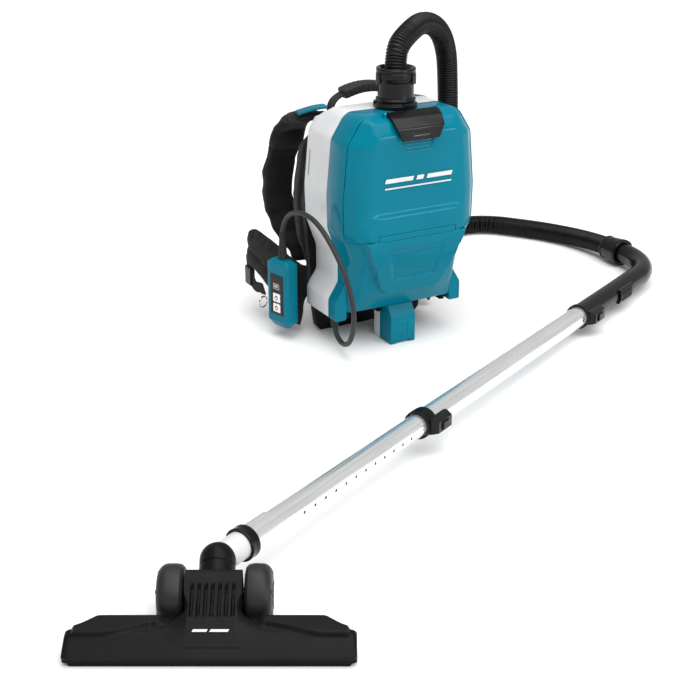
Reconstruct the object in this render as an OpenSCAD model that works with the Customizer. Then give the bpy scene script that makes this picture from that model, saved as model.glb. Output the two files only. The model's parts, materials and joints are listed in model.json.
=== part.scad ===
// Backpack vacuum cleaner with hose, telescopic wand, floor nozzle and wired control unit.
// Millimetres. The origin is on the floor under the hose inlet, +Z up, the front cover faces -Y.

/* [Body] */
// Height of the body's flat top above the floor
top_z = 372; // [368:1:376]
// Height of the body's underside, the ceiling of the battery bays
under_z = 62; // [60:1:64]
// Lowest point of the skirts outside the battery bays
skirt_z = 50; // [46:1:54]
// Half width across the shoulders
shoulder_half = 116; // [114:1:118]
// Half width at the waist
waist_half = 97; // [95:1:99]
// Half width across the skirts
skirt_half = 114; // [112:1:116]
// Half width of the flat top
top_half = 78; // [74:1:82]
// Wall thickness of the moulded housings
wall = 3; // [2:0.5:4]
// Plane where the front and rear housings meet
split_y = 6; // [2:1:10]
// Rear face of the rear housing
rear_y = 79; // [78:1:80]
// Plane where the front cover meets the front housing
cover_y = -44; // [-46:1:-42]
// Outer face of the front cover
face_y = -72; // [-73:1:-71]
// Lower edge of the front cover
cover_z = 187; // [186:1:188]

/* [Battery guard] */
// Width of the guard between the two battery bays
guard_w = 44; // [40:1:48]
// Front face of the guard
guard_front_y = -32; // [-36:1:-30]
// Plane where the guard's front and back shells meet
guard_split_y = 4; // [2:1:8]
// Rear face of the guard
guard_rear_y = 22; // [18:1:30]

/* [Hose and inlet] */
// Outer diameter of the hose
hose_d = 34; // [32:1:36]
// Diameter of the inlet's base ring
inlet_d = 66; // [60:1:70]
// Diameter of the turning cuff
cuff_d = 55; // [50:1:58]
// Height of the cuff's top rim
cuff_top_z = 432; // [425:1:440]

/* [Wand] */
// Outer diameter of the outer tube
outer_tube_d = 33; // [32.6:0.1:33.4]
// Outer diameter of the inner tube
inner_tube_d = 31; // [30.8:0.1:31.2]
// Wall thickness of both tubes
tube_wall = 0.9; // [0.8:0.05:0.95]
// Length of the outer tube
outer_tube_len = 500; // [480:5:520]
// Length of the inner tube
inner_tube_len = 476; // [460:4:480]
// Distance from the elbow to the outer tube's lower end
outer_tube_x = 428; // [420:2:440]
// Direction in which the wand points, from +X towards +Y
wand_heading = 27.95; // [27:0.05:29]
// Downward slope of the wand towards the handle
wand_pitch = 1.2; // [1.1:0.05:1.3]
// Outer diameter of the curved handle
handle_d = 36; // [35:1:38]
// Radius of the handle's bend
handle_bend_r = 130; // [125:1:135]

/* [Nozzle] */
// Width of the floor nozzle
nozzle_w = 300; // [280:5:310]
// Diameter of the nozzle's wheels
wheel_d = 64; // [64:1:64]
// Width of each wheel
wheel_w = 29; // [26:1:30]
// Direction of the nozzle's width, from +X towards +Y
nozzle_heading = -29; // [-30:0.5:-28]

/* [Control unit] */
// Width of the control unit
unit_w = 50; // [46:1:52]
// Depth of the control unit
unit_d = 25; // [24:1:26]
// Height of the control unit
unit_h = 112; // [108:1:114]
// Diameter of the control cable
cable_d = 8; // [7:0.5:8]

/* [Hidden] */
$fn = 48;
gap = 0.3;
teal = [0.0, 0.46, 0.53];
pale = [0.83, 0.84, 0.85];
black = [0.07, 0.07, 0.075];
fabric = [0.05, 0.05, 0.055];
silver = [0.8, 0.81, 0.82];

// ---- heights and widths of the body's outline ----
skirt_top_z = 82;
waist_low_z = 108;
waist_high_z = 147;
shoulder_low_z = 197;
shoulder_mid_z = 250;
corner_low_z = 334;
corner_low_half = shoulder_half - 8;
corner_high_z = top_z - 7;
corner_high_half = top_half + 10;
bay_half = waist_half - 3;

// ---- front cover, latch and hinge ----
cover_mid_y = -60;
hinge_y = face_y + 3;
hinge_z = cover_z - 3;
hinge_pin_r = 1.25;
knuckle_r = 2.8;
tongue_half = 68;
tongue_z = 196;
knuckle_x = tongue_half + 0.7;
knuckle_w = 6;
latch_pivot_y = -47;
latch_pivot_z = top_z + 2.6;
latch_pin_r = 1.1;
latch_t = 4;

// ---- inlet ----
port_r = 26;
port_bore_r = 20;
port_ring_h = 10;
collar_z = 338;

// ---- fan and motor, on one upright axis ----
motor_y = 14;
motor_r = 36;
motor_low_z = 84;
motor_high_z = 130;
casing_r = 56;
casing_high_z = 176;
fan_r = 46;
shaft_r = 4;

// ---- battery bays ----
bay_mid = (guard_w / 2 + bay_half) / 2;
rail_z = 50;

// ---- harness ----
frame_t = 12;
frame_rear_y = rear_y + gap + frame_t;
pad_rear_y = 124;
strap_mid_x = 92;
strap_w = 68;
strap_t = 14;
belt_t = 14;

// ---- wand, nozzle and handle ----
axle_pos = [-579, -609, wheel_d / 2];
swivel_pitch = 30;
swivel_reach = 40;
nozzle_back = nozzle_heading + 90;
elbow_pos = axle_pos + swivel_reach * [cos(swivel_pitch) * cos(nozzle_back),
    cos(swivel_pitch) * sin(nozzle_back), sin(swivel_pitch)];
outer_tube_end = outer_tube_x + outer_tube_len;
inner_tube_x = 52;
socket_len = 40;
socket_r = 17.5;
handle_straight = 245;
handle_bend_angle = 64;
hose_cuff_r = 24.4;
hose_cuff_len = 45;

// ---- control unit ----
unit_pos = [-153, 85, 18];
unit_heading = -76;
unit_top_z = unit_pos[2] + unit_h;

// The hose: out of the cuff, over, down behind the body and along the floor to the handle.
hose_route = [[0, 0, 412], [0, 0, 442], [8, 4, 463], [38, 22, 478], [72, 46, 483],
    [108, 70, 474], [136, 88, 452], [152, 98, 420], [158, 102, 380], [162, 105, 335],
    [168, 113, 280], [178, 132, 220], [193, 165, 160], [214, 212, 106], [244, 270, 62],
    [286, 332, 32], [338, 378, 19], [392, 392, 18], [440, 376, 18], [477, 334, 18],
    [508, 288, 18], [530, 238, 19], [539, 190, 22], [541, 150, 24.5], [542, 118, 25]];

// The control cable: up out of the control unit, over in an arch, down the body's left side,
// round below it and up into the gland.
cable_route = [[-150, 89, 172], [-149, 82, 190], [-148, 65, 207], [-146, 38, 217],
    [-143, 6, 217], [-140, -24, 206], [-136, -52, 184], [-132, -76, 156], [-128, -90, 124],
    [-124, -94, 92], [-120, -84, 58], [-116, -64, 33], [-112, -38, 22], [-109, -14, 26],
    [-106, -2, 37], [-106, -1, 43]];

// ---- helper shapes ----
function mirrored(p) = concat(p, [for (i = [len(p) - 1 : -1 : 0]) [-p[i][0], p[i][1]]]);
function unit(v) = v / norm(v);
function tangent(p, i) = unit(p[min(i + 1, len(p) - 1)] - p[max(i - 1, 0)]);
function across(n, t) = unit(n - (n * t) * t);
function catmull(a, b, c, d, t) = 0.5 * (2 * b + (c - a) * t + (2 * a - 5 * b + 4 * c - d) * t * t
    + (3 * b - a - 3 * c + d) * t * t * t);
function curve(p, n) = [for (i = [0 : len(p) - 2]) for (k = [0 : n - 1])
    catmull(p[max(i - 1, 0)], p[i], p[i + 1], p[min(i + 2, len(p) - 1)], k / n), p[len(p) - 1]];
function normals(p, start) = [for (i = 0, n = across(start, tangent(p, 0)); i < len(p);
    i = i + 1, n = i < len(p) ? across(n, tangent(p, i)) : n) n];
function ring_quads(rings, n) = [for (i = [0 : rings - 2]) for (k = [0 : n - 1])
    each [[i * n + k, (i + 1) * n + k, i * n + (k + 1) % n],
        [i * n + (k + 1) % n, (i + 1) * n + k, (i + 1) * n + (k + 1) % n]]];
function caps(rings, n) = [[for (k = [0 : n - 1]) k], [for (k = [n - 1 : -1 : 0]) (rings - 1) * n + k]];

// A closed tube of radius r along the points p.
module tube_along(p, r, sides, start) {
    n = normals(p, start);
    points = [for (i = [0 : len(p) - 1]) for (k = [0 : sides - 1])
        let (a = 360 * k / sides, t = tangent(p, i))
        p[i] + r * (cos(a) * n[i] + sin(a) * cross(t, n[i]))];
    polyhedron(points = points, faces = concat(ring_quads(len(p), sides), caps(len(p), sides)),
        convexity = 10);
}

// A flat band along the points p; its width lies along side and tapers from w0 to w1.
module band_along(p, w0, w1, t, side) {
    last = len(p) - 1;
    points = [for (i = [0 : last])
        let (u = across(side, tangent(p, i)), n = cross(tangent(p, i), u),
            w = w0 + (w1 - w0) * i / last)
        each [p[i] + u * w / 2 + n * t / 4, p[i] + u * (w / 2 - t / 4) + n * t / 2,
            p[i] - u * (w / 2 - t / 4) + n * t / 2, p[i] - u * w / 2 + n * t / 4,
            p[i] - u * w / 2 - n * t / 4, p[i] - u * (w / 2 - t / 4) - n * t / 2,
            p[i] + u * (w / 2 - t / 4) - n * t / 2, p[i] + u * w / 2 - n * t / 4]];
    polyhedron(points = points, faces = concat(ring_quads(len(p), 8), caps(len(p), 8)),
        convexity = 10);
}

module slab(z, half_outline) {
    translate([0, 0, z])
    linear_extrude(0.01)
    polygon(mirrored(half_outline));
}

module slice(y, half_outline) {
    translate([0, y, 0])
    rotate([90, 0, 0])
    linear_extrude(0.01)
    polygon(mirrored(half_outline));
}

// A plate with the given outline in X and Z, between two planes of Y.
module plate_xz(y0, y1, half_outline) {
    translate([0, y1, 0])
    rotate([90, 0, 0])
    linear_extrude(y1 - y0)
    polygon(mirrored(half_outline));
}

// A bar with the given outline in Y and Z, between two planes of X.
module bar_yz(x0, x1, outline) {
    translate([x0, 0, 0])
    rotate([90, 0, 90])
    linear_extrude(x1 - x0)
    polygon(outline);
}

module rod(x0, x1, r) {
    translate([x0, 0, 0])
    rotate([0, 90, 0])
    cylinder(h = x1 - x0, r = r);
}

module pipe(x0, x1, r_out, r_in) {
    difference() {
        rod(x0, x1, r_out);
        rod(x0 - 1, x1 + 1, r_in);
    }
}

module ring(z0, z1, r_out, r_in) {
    difference() {
        translate([0, 0, z0]) cylinder(h = z1 - z0, r = r_out);
        translate([0, 0, z0 - 1]) cylinder(h = z1 - z0 + 2, r = r_in);
    }
}

module both_sides() {
    children();
    mirror([1, 0, 0]) children();
}

module place_wand() {
    translate(elbow_pos) rotate([0, wand_pitch, wand_heading]) children();
}

module place_handle_end() {
    place_wand()
    translate([outer_tube_end + handle_straight, handle_bend_r, 0])
    rotate([0, 0, handle_bend_angle])
    translate([0, -handle_bend_r, 0])
    children();
}

module place_nozzle() {
    translate(axle_pos) rotate([0, 0, nozzle_heading]) children();
}

module place_unit() {
    translate(unit_pos) rotate([0, 0, unit_heading]) children();
}

// ---- body outlines, right half, bottom to top ----
outer_side = [[bay_half, under_z], [bay_half, skirt_z], [skirt_half, skirt_z],
    [skirt_half, skirt_top_z], [waist_half, waist_low_z], [waist_half, waist_high_z],
    [shoulder_half - 1, shoulder_low_z], [shoulder_half, shoulder_mid_z],
    [corner_low_half, corner_low_z], [corner_high_half, corner_high_z], [top_half, top_z]];
foot_cavity = [[bay_half + wall, under_z + wall], [bay_half + wall, skirt_z + wall],
    [skirt_half - wall, skirt_z + wall], [skirt_half - wall, skirt_top_z - 1],
    [waist_half - wall, waist_low_z - 1]];
inner_side = concat(foot_cavity, [[waist_half - wall, waist_high_z],
    [shoulder_half - 1 - wall, shoulder_low_z],
    [shoulder_half - wall, shoulder_mid_z], [corner_low_half - wall, corner_low_z - 1],
    [corner_high_half - wall, corner_high_z - 2], [top_half - wall, top_z - wall]]);
upper_side = [[shoulder_half - 4, cover_z], [shoulder_half - 1, shoulder_low_z],
    [shoulder_half, shoulder_mid_z], [corner_low_half, corner_low_z],
    [corner_high_half, corner_high_z], [top_half, top_z]];
upper_inner = [[shoulder_half - 5 - wall, cover_z], [shoulder_half - 1 - wall, shoulder_low_z],
    [shoulder_half - wall, shoulder_mid_z], [corner_low_half - wall, corner_low_z - 1],
    [corner_high_half - wall, corner_high_z - 2], [top_half - wall, top_z - wall]];

// A bar that lies flush in the sloping left flank of the rear housing.
module flank_bar(depth, y0, y1, z0, z1) {
    flank_x = -shoulder_half + 0.5;
    lean = (shoulder_half - corner_low_half) / (corner_low_z - shoulder_mid_z);
    x0 = flank_x + lean * (z0 - shoulder_mid_z);
    x1 = flank_x + lean * (z1 - shoulder_mid_z);
    translate([0, y1, 0])
    rotate([90, 0, 0])
    linear_extrude(y1 - y0)
    polygon([[x0, z0], [x0 + depth, z0], [x1 + depth, z1], [x1, z1]]);
}

vent_x = [-40 : 16 : 40];
screw_x = [-70, 70];
screw_z = [100, 330];
// The slope that takes the top of the back down behind the shoulders, a depth below its face.
bevel_y = 46;
bevel_low_z = 351;
module back_bevel(depth) {
    bar_yz(-shoulder_half - 1, shoulder_half + 1, [[bevel_y, top_z - depth], [rear_y + 1, bevel_low_z - depth],
        [rear_y + 1, top_z + 1], [bevel_y, top_z + 1]]);
}

module rear_housing() {
    color(pale)
    difference() {
        plate_xz(split_y, rear_y, outer_side);
        difference() {
            plate_xz(split_y - 1, rear_y - wall, inner_side);
            back_bevel(wall + 1);
        }
        back_bevel(0);
        translate([0, 0, top_z - 20]) cylinder(h = 21, r = port_r + gap);
        translate([-1, 0, 0]) flank_bar(3, 64.5, 69.5, 265, 305);
        for (x = screw_x, z = screw_z)
            translate([x, rear_y - wall - 1, z]) rotate([-90, 0, 0]) cylinder(h = wall + 2, r = 2.2);
        for (x = vent_x)
            translate([x - 3, rear_y - wall - 1, 120]) cube([6, wall + 2, 50]);
    }
}

// Cross-sections of the lower front, right half, from the split plane forwards.
low_a = [[shoulder_half - 4, split_y], [shoulder_half - 6, cover_y], [94, -58], [80, -65]];
low_b = [[waist_half, split_y], [waist_half - 2, -36], [84, -52], [68, -60]];
low_c = [[waist_half, split_y], [waist_half - 3, -24], [84, -38], [54, -48]];
low_d = [[waist_half, split_y], [waist_half - 1, -12], [90, -19], [60, -21]];
low_c_z = 98;
function inset(p, t) = [for (i = [0 : len(p) - 1]) [p[i][0] - t, i == 0 ? p[i][1] + 1 : p[i][1] + t]];

module front_housing() {
    bib_z = 96;
    foot_front_y = -18;
    color(teal)
    difference() {
        union() {
            plate_xz(cover_y, split_y, upper_side);
            hull() {
                slab(cover_z - 0.01, low_a);
                slab(waist_high_z, low_b);
            }
            hull() {
                slab(waist_high_z, low_b);
                slab(low_c_z, low_c);
                slab(under_z, low_d);
            }
            both_sides()
            translate([0, split_y, 0])
            rotate([90, 0, 0])
            linear_extrude(split_y - foot_front_y)
            polygon([[bay_half, skirt_z], [skirt_half, skirt_z], [skirt_half, skirt_top_z],
                [bay_half + 2, waist_low_z], [bay_half - 4, waist_low_z], [bay_half - 4, under_z + 1],
                [bay_half, under_z + 1]]);
            hull() {
                translate([-78, face_y, 178]) cube([156, 8, 0.1]);
                translate([-66, face_y, 150]) cube([132, 12, 0.1]);
                translate([-50, -54, bib_z]) cube([100, 8, 0.1]);
            }
            translate([-tongue_half, face_y, 176]) cube([2 * tongue_half, 6, tongue_z - 176]);
        }
        plate_xz(cover_y - 1, split_y + 1, upper_inner);
        hull() {
            slab(cover_z + 1, inset(low_a, wall));
            slab(waist_high_z, inset(low_b, wall));
        }
        hull() {
            slab(waist_high_z, inset(low_b, wall));
            slab(low_c_z, inset(low_c, wall));
            slab(under_z + wall, inset(low_d, wall));
        }
        both_sides()
        translate([0, split_y + 1, 0])
        rotate([90, 0, 0])
        linear_extrude(split_y + 1 - foot_front_y - wall)
        polygon(concat(foot_cavity, [[waist_half - wall - 3, under_z + wall]]));
        hull() {
            translate([-42, face_y - 1, 172]) cube([84, 2, 0.1]);
            translate([-30, face_y + 6, 132]) cube([60, 1, 0.1]);
            translate([-34, face_y - 1, 126]) cube([68, 2, 0.1]);
        }
        translate([0, 0, top_z - 20]) cylinder(h = 21, r = port_r + gap);
        both_sides()
        translate([knuckle_x - gap, face_y - 1, hinge_z - knuckle_r - 0.5])
            cube([40, 7.4, cover_z - hinge_z + knuckle_r + 1]);
        both_sides()
        translate([0, hinge_y, hinge_z]) rod(60, 90, hinge_pin_r);
        translate(gland_at + [0, 0, skirt_z - 1]) cylinder(h = 14, r = gland_r + 0.2);
    }
}

module front_cover() {
    low = cover_z + gap;
    back = [[shoulder_half - 5, low], [shoulder_half - 3, shoulder_low_z],
        [shoulder_half - 2, shoulder_mid_z], [corner_low_half - 2, corner_low_z],
        [corner_high_half - 2, corner_high_z - 1], [top_half - 2, top_z - 0.4]];
    middle = [[97, low], [99, shoulder_mid_z], [95, 330], [80, 357], [70, 365]];
    face = [[76, low], [80, shoulder_low_z], [80, 322], [64, 345]];
    color(teal)
    difference() {
        union() {
            hull() {
                slice(cover_y - gap, back);
                slice(cover_mid_y, middle);
                slice(face_y + 0.01, face);
            }
            both_sides()
            translate([0, hinge_y, hinge_z]) {
                rod(knuckle_x, knuckle_x + knuckle_w, knuckle_r);
                translate([knuckle_x, -knuckle_r, 0]) cube([knuckle_w, 2 * knuckle_r, 4]);
            }
            both_sides()
            translate([45.5, latch_pivot_y, latch_pivot_z]) {
                rod(0, 4, 2.6);
                translate([0, -3, -8]) cube([4, 6, 8]);
            }
        }
        hull() {
            slice(cover_y + 1, inset_face(back));
            slice(cover_mid_y + 1, inset_face(middle));
            slice(face_y + wall, inset_face(face));
        }
        translate([-tongue_half - gap, face_y - 1, cover_z - 6])
            cube([2 * (tongue_half + gap), 8, tongue_z + gap - cover_z + 6]);
        both_sides()
        translate([0, hinge_y, hinge_z]) rod(60, 90, hinge_pin_r + 0.05);
        both_sides()
        translate([0, latch_pivot_y, latch_pivot_z]) rod(40, 60, latch_pin_r);
        translate([0, latch_pivot_y, latch_pivot_z]) rod(-45.3, 45.3, 4);
        translate([-28, face_y - 1, 322]) cube([56, 2.5, 20]);
    }
}
function inset_face(p) = [for (i = [0 : len(p) - 1]) [p[i][0] - wall, i == 0 ? p[i][1] - 1
    : p[i][1] - (i >= len(p) - 2 ? wall : 1)]];

module cover_latch() {
    low_z = 338;
    inner = [[face_y - gap, low_z], [face_y - gap, 345.5], [-60.6, 365.6], [-46, top_z + 0.3],
        [-44.4, top_z + 0.9]];
    outer = [[-44.4, top_z + latch_t], [-47, top_z + latch_t + 0.8], [-62.5, 370],
        [face_y - latch_t, 347.5], [face_y - latch_t, low_z]];
    color(black)
    difference() {
        intersection() {
            bar_yz(-45, 45, concat(inner, outer));
            plate_xz(-90, 0, [[30, low_z - 1], [36, 348], [45, 362], [45, 380]]);
        }
        translate([0, latch_pivot_y, latch_pivot_z]) rod(-60, 60, latch_pin_r + 0.05);
    }
}

module latch_pin() {
    color(silver) translate([0, latch_pivot_y, latch_pivot_z]) rod(-49, 49, latch_pin_r);
}

module cover_hinge_pins() {
    color(silver)
    both_sides()
    translate([0, hinge_y, hinge_z]) rod(60, knuckle_x + knuckle_w, hinge_pin_r);
}

module inlet_port() {
    color(black) {
        ring(top_z, top_z + port_ring_h, inlet_d / 2, port_bore_r);
        ring(collar_z + 3, top_z, port_r, port_bore_r);
        for (a = [30 : 120 : 270])
            rotate([0, 0, a]) translate([inlet_d / 2 - 0.5, -7, top_z + 2]) cube([2.5, 14, 6]);
    }
}

module inlet_cuff() {
    z0 = top_z + port_ring_h + 0.2;
    band_z = 417;
    color(black) {
        ring(z0, band_z, cuff_d / 2, hose_d / 2 + 1.5);
        ring(band_z, cuff_top_z, cuff_d / 2 + 2.5, hose_d / 2 + 1);
        ring(z0, z0 + 4, cuff_d / 2 + 3, hose_d / 2 + 1.5);
        for (a = [-60 : 120 : 200])
            rotate([0, 0, a]) translate([cuff_d / 2 + 2, -6, band_z - 8]) cube([3, 12, 15]);
    }
}

module chamber_floor() {
    color(black)
    difference() {
        translate([0, 0, cover_z - 3]) linear_extrude(3)
            polygon(mirrored([[100, rear_y - wall - gap], [104, -30], [80, -52], [60, -57]]));
        translate([0, motor_y, cover_z - 4]) cylinder(h = 5, r = 44);
    }
}

// The bag with the card collar that grips the inlet port.
module dust_bag() {
    color([0.85, 0.83, 0.78])
    hull() {
        translate([-92, -20, 232]) cube([184, 76, 76]);
        translate([-80, -32, 232]) cube([160, 100, 76]);
        translate([-80, -20, 216]) cube([160, 76, 108]);
    }
    color([0.75, 0.7, 0.6])
    difference() {
        translate([-55, -34, collar_z - 3]) cube([110, 100, 3]);
        translate([0, 0, collar_z - 4]) cylinder(h = 5, r = port_bore_r);
    }
}

module hepa_filter() {
    color([0.9, 0.9, 0.86])
    translate([-78, -34, cover_z + gap]) cube([156, 100, 24]);
}

module fan_casing() {
    color(black)
    translate([0, motor_y, 0])
    difference() {
        translate([0, 0, motor_high_z + gap]) cylinder(h = casing_high_z - motor_high_z, r = casing_r);
        translate([0, 0, motor_high_z + 4]) cylinder(h = casing_high_z - motor_high_z - 8, r = casing_r - 4);
        translate([0, 0, motor_high_z - 1]) cylinder(h = 60, r = 26);
    }
}

module fan() {
    color(silver)
    translate([0, motor_y, 142])
    difference() {
        union() {
            cylinder(h = 2, r = fan_r);
            cylinder(h = 12, r = 10);
            for (a = [0 : 40 : 320])
                rotate([0, 0, a]) translate([14, 6, 0]) rotate([0, 0, -32]) cube([30, 2, 16]);
        }
        translate([0, 0, -1]) cylinder(h = 20, r = shaft_r + 0.02);
    }
}

module motor_shaft() {
    color(silver) translate([0, motor_y, 90]) cylinder(h = 70, r = shaft_r);
}

module motor() {
    color([0.3, 0.31, 0.33])
    translate([0, motor_y, 0])
    difference() {
        translate([0, 0, motor_low_z]) cylinder(h = motor_high_z - motor_low_z, r = motor_r);
        translate([0, 0, 88]) cylinder(h = 60, r = shaft_r + 0.08);
        for (a = [0 : 30 : 330])
            rotate([0, 0, a]) translate([motor_r - 4, -3, 104]) cube([6, 6, 18]);
    }
}

module motor_mount() {
    color([0.1, 0.1, 0.1])
    difference() {
        union() {
            translate([0, motor_y, 88]) cylinder(h = 12, r = motor_r + 10);
            translate([-88, motor_y - 14, 91]) cube([176, 28, 6]);
        }
        translate([0, motor_y, 80]) cylinder(h = 30, r = motor_r + 0.2);
    }
}

module circuit_board() {
    color([0.05, 0.3, 0.15]) translate([-48, -38.4, 91]) cube([96, 1.6, 37]);
    color([0.15, 0.15, 0.16])
    for (x = [-36 : 18 : 36])
        translate([x - 5, -36.8, 100]) cube([10, 4.4, 14]);
}

module battery_rails() {
    color(black)
    both_sides()
    for (s = [-1, 1])
        translate([bay_mid + s * 29, -8, 0])
        difference() {
            translate([-4, 0, rail_z]) cube([8, 76, under_z - rail_z]);
            translate([s > 0 ? -5 : 1, -1, rail_z + 4]) cube([4, 80, 5]);
        }
}

module battery_terminals() {
    color([0.12, 0.12, 0.13])
    both_sides() translate([bay_mid - 19, 28, rail_z + 4]) cube([38, 44, under_z - rail_z - 4]);
    color([0.85, 0.65, 0.3])
    both_sides()
    for (x = [-13, 0, 13])
        translate([bay_mid + x - 0.5, 10, rail_z + 6]) cube([1, 18, 5]);
}

module battery_guard() {
    color(teal)
    difference() {
        bar_yz(-guard_w / 2, guard_w / 2, [[guard_front_y, 0], [guard_split_y, 0],
            [guard_split_y, under_z], [-20.5, under_z], [guard_front_y, 46]]);
        translate([-13, guard_front_y - 1, -1]) cube([26, 9, 4]);
        translate([-9, guard_front_y - 1, 12]) cube([18, 2, 20]);
    }
}

module guard_back() {
    color(pale)
    translate([-guard_w / 2, guard_split_y, 0]) cube([guard_w, guard_rear_y - guard_split_y, under_z]);
}

module side_insert() {
    color([0.45, 0.46, 0.47]) flank_bar(1.9, 64.8, 69.2, 265.3, 304.7);
}

module housing_screws() {
    color(silver)
    for (x = screw_x, z = screw_z)
        translate([x, 0, z])
        rotate([90, 0, 0]) {
            translate([0, 0, -frame_rear_y + 2]) cylinder(h = frame_rear_y - 64, r = 2);
            difference() {
                translate([0, 0, -frame_rear_y + 1]) cylinder(h = 3, r = 4);
                translate([0, 0, -frame_rear_y]) cylinder(h = 2.5, r = 1.5);
            }
        }
}

module back_frame() {
    outline = [[88, 0], [96, 8], [103, 60], [106, 110], [116, 215], [105, 312], [84, 345],
        [70, 350]];
    color(black)
    difference() {
        plate_xz(rear_y + gap, frame_rear_y, outline);
        for (x = screw_x, z = screw_z) {
            translate([x, rear_y, z]) rotate([-90, 0, 0]) cylinder(h = frame_t + 2, r = 2.2);
            translate([x, frame_rear_y - 4, z]) rotate([-90, 0, 0]) cylinder(h = 6, r = 4.2);
        }
        for (x = vent_x)
            translate([x - 3, rear_y - 1, 120]) cube([6, frame_t + 4, 50]);
    }
}

module back_pad() {
    y0 = frame_rear_y + gap;
    color(fabric)
    hull() {
        plate_xz(y0, y0 + 8, [[86, 5], [100, 40], [104, 110], [112, 215], [102, 308], [80, 338]]);
        plate_xz(y0, pad_rear_y, [[72, 16], [90, 55], [97, 120], [108, 215], [96, 300], [72, 326]]);
    }
}

strap_line = [[0, 92, 336], [0, 112, 343], [0, 138, 338], [0, 166, 318], [0, 190, 284], [0, 203, 245],
    [0, 204, 205], [0, 194, 170], [0, 168, 142], [0, 140, 126], [0, 128.5, 108]];
module shoulder_strap(side) {
    path = [for (p = strap_line) [side * strap_mid_x, p[1], p[2]]];
    band_along(path, strap_w, strap_w - 28, strap_t, [1, 0, 0]);
}

module shoulder_strap_left() {
    color(fabric) strap_clear() shoulder_strap(-1);
}

module shoulder_strap_right() {
    color(fabric) strap_clear() shoulder_strap(1);
}

// Trims a strap where it would enter the pad and the frame.
module strap_clear() {
    difference() {
        children();
        translate([-150, 0, 0]) cube([300, frame_rear_y + gap, 400]);
        translate([-150, 0, 0]) cube([300, pad_rear_y + gap, 338.3]);
    }
}

module strap_trim() {
    path = [[-68, 100, 360.5], [-84, 100, 360], [-100, 101, 357.5], [-114, 103, 354.3]];
    color(teal)
    both_sides() band_along(path, 20, 18, 7, [0, 1, 0]);
}

belt_line = [[-108.4, 87, 66], [-119, 88, 68], [-129, 99, 75], [-136, 122, 88], [-143, 152, 102],
    [-148, 184, 113], [-151, 210, 119]];
// Trims a hip belt where it would enter the frame.
belt_start_x = 107.9;
module belt_clear() {
    difference() {
        children();
        translate([-belt_start_x, 0, 0]) cube([2 * belt_start_x, 100, 200]);
    }
}

module hip_belt_left() {
    color(fabric) belt_clear() band_along(belt_line, 118, 62, belt_t, [0, 0, 1]);
}

module hip_belt_right() {
    color(fabric) belt_clear() mirror([1, 0, 0]) band_along(belt_line, 118, 62, belt_t, [0, 0, 1]);
}

module belt_buckles() {
    color(black) {
        translate([-156, 200, 48]) cube([9, 22, 32]);
        translate([147, 200, 48]) cube([9, 28, 32]);
    }
}

module belt_webbing() {
    tail = [[-151, 198.8, 49], [-150, 193, 49], [-148, 184, 50], [-146, 170, 51]];
    color(fabric)
    both_sides() band_along(tail, 24, 22, 3, [0, 0, 1]);
}

module belt_ring() {
    color(silver)
    translate([-147, 172, 28.5])
    rotate([90, 0, 20])
    rotate_extrude() translate([9, 0]) circle(r = 1.4, $fn = 16);
}

carry_half = [[-62, 92, 350.7], [-61, 92, 362], [-54, 92, 372], [-38, 92, 380], [-18, 92, 385]];
carry_line = concat(carry_half, [[0, 92, 386.5]],
    [for (i = [4 : -1 : 0]) [-carry_half[i][0], carry_half[i][1], carry_half[i][2]]]);
module carry_strap() {
    color(fabric) band_along(carry_line, 22, 22, 3, [0, 1, 0]);
}

module carry_grip() {
    grip_line = [[-42, 92, 378.5], [-20, 92, 384.5], [0, 92, 386.5], [20, 92, 384.5], [42, 92, 378.5]];
    color(black)
    difference() {
        band_along(grip_line, 30, 30, 17, [0, 1, 0]);
        band_along(carry_line, 23, 23, 4, [0, 1, 0]);
    }
}

gland_at = [-106, -1, 0];
gland_r = 6;
module cable_gland() {
    color(black)
    translate(gland_at)
    difference() {
        union() {
            translate([0, 0, 38]) cylinder(h = 11, r1 = 6, r2 = 7.4);
            translate([0, 0, 49]) cylinder(h = 14, r = gland_r);
        }
        translate([0, 0, 37]) cylinder(h = 8, r = cable_d / 2 + 0.8);
    }
}

module control_cable() {
    color(black)
    tube_along(curve(cable_route, 2), cable_d / 2, 10, [0, 1, 0]);
}

module hose() {
    color(black)
    tube_along(curve(hose_route, 2), hose_d / 2, 12, [0, 1, 0]);
}

// A box with rounded upright edges, centred on X and Y.
module rounded_box(w, d, h, r) {
    hull() {
        for (x = [-1, 1], y = [-1, 1])
            translate([x * (w / 2 - r), y * (d / 2 - r), 0]) cylinder(h = h, r = r, $fn = 24);
    }
}

face_w = 30;
face_low = 22;
face_high = 88;
button_depth = 3;
module unit_body() {
    color(teal)
    place_unit()
    difference() {
        hull() {
            translate([0, 0, 10]) rounded_box(unit_w, unit_d, unit_h - 16, 6);
            rounded_box(unit_w - 18, unit_d - 12, unit_h, 3);
        }
        translate([-face_w / 2 - 0.1, -unit_d / 2 - 1, face_low - 0.1])
            cube([face_w + 0.2, 1.8, face_high - face_low + 0.2]);
        for (z = [button_low, button_high])
            translate([-9, -unit_d / 2 - 1, z - 0.6]) cube([18, 6.2, button_h + 1.2]);
    }
}

button_low = 26;
button_high = 43;
button_h = 14;
module unit_face() {
    color(black)
    place_unit()
    difference() {
        translate([-face_w / 2, -unit_d / 2 - 0.6, face_low]) cube([face_w, 1.4, face_high - face_low]);
        for (z = [button_low, button_high])
            translate([-8.6, -unit_d / 2 - 1, z - 0.4]) cube([17.2, 4, button_h + 0.8]);
        translate([-8, -unit_d / 2 - 1, 63]) cube([16, 0.8, 12]);
    }
}

module unit_button(z) {
    place_unit() translate([-8.3, -unit_d / 2 - 1.4, z]) cube([16.6, button_depth + 0.6, button_h]);
}

module button_power() {
    color([0.93, 0.93, 0.93]) unit_button(button_low);
}

module button_mode() {
    color([0.93, 0.93, 0.93]) unit_button(button_high);
}

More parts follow.
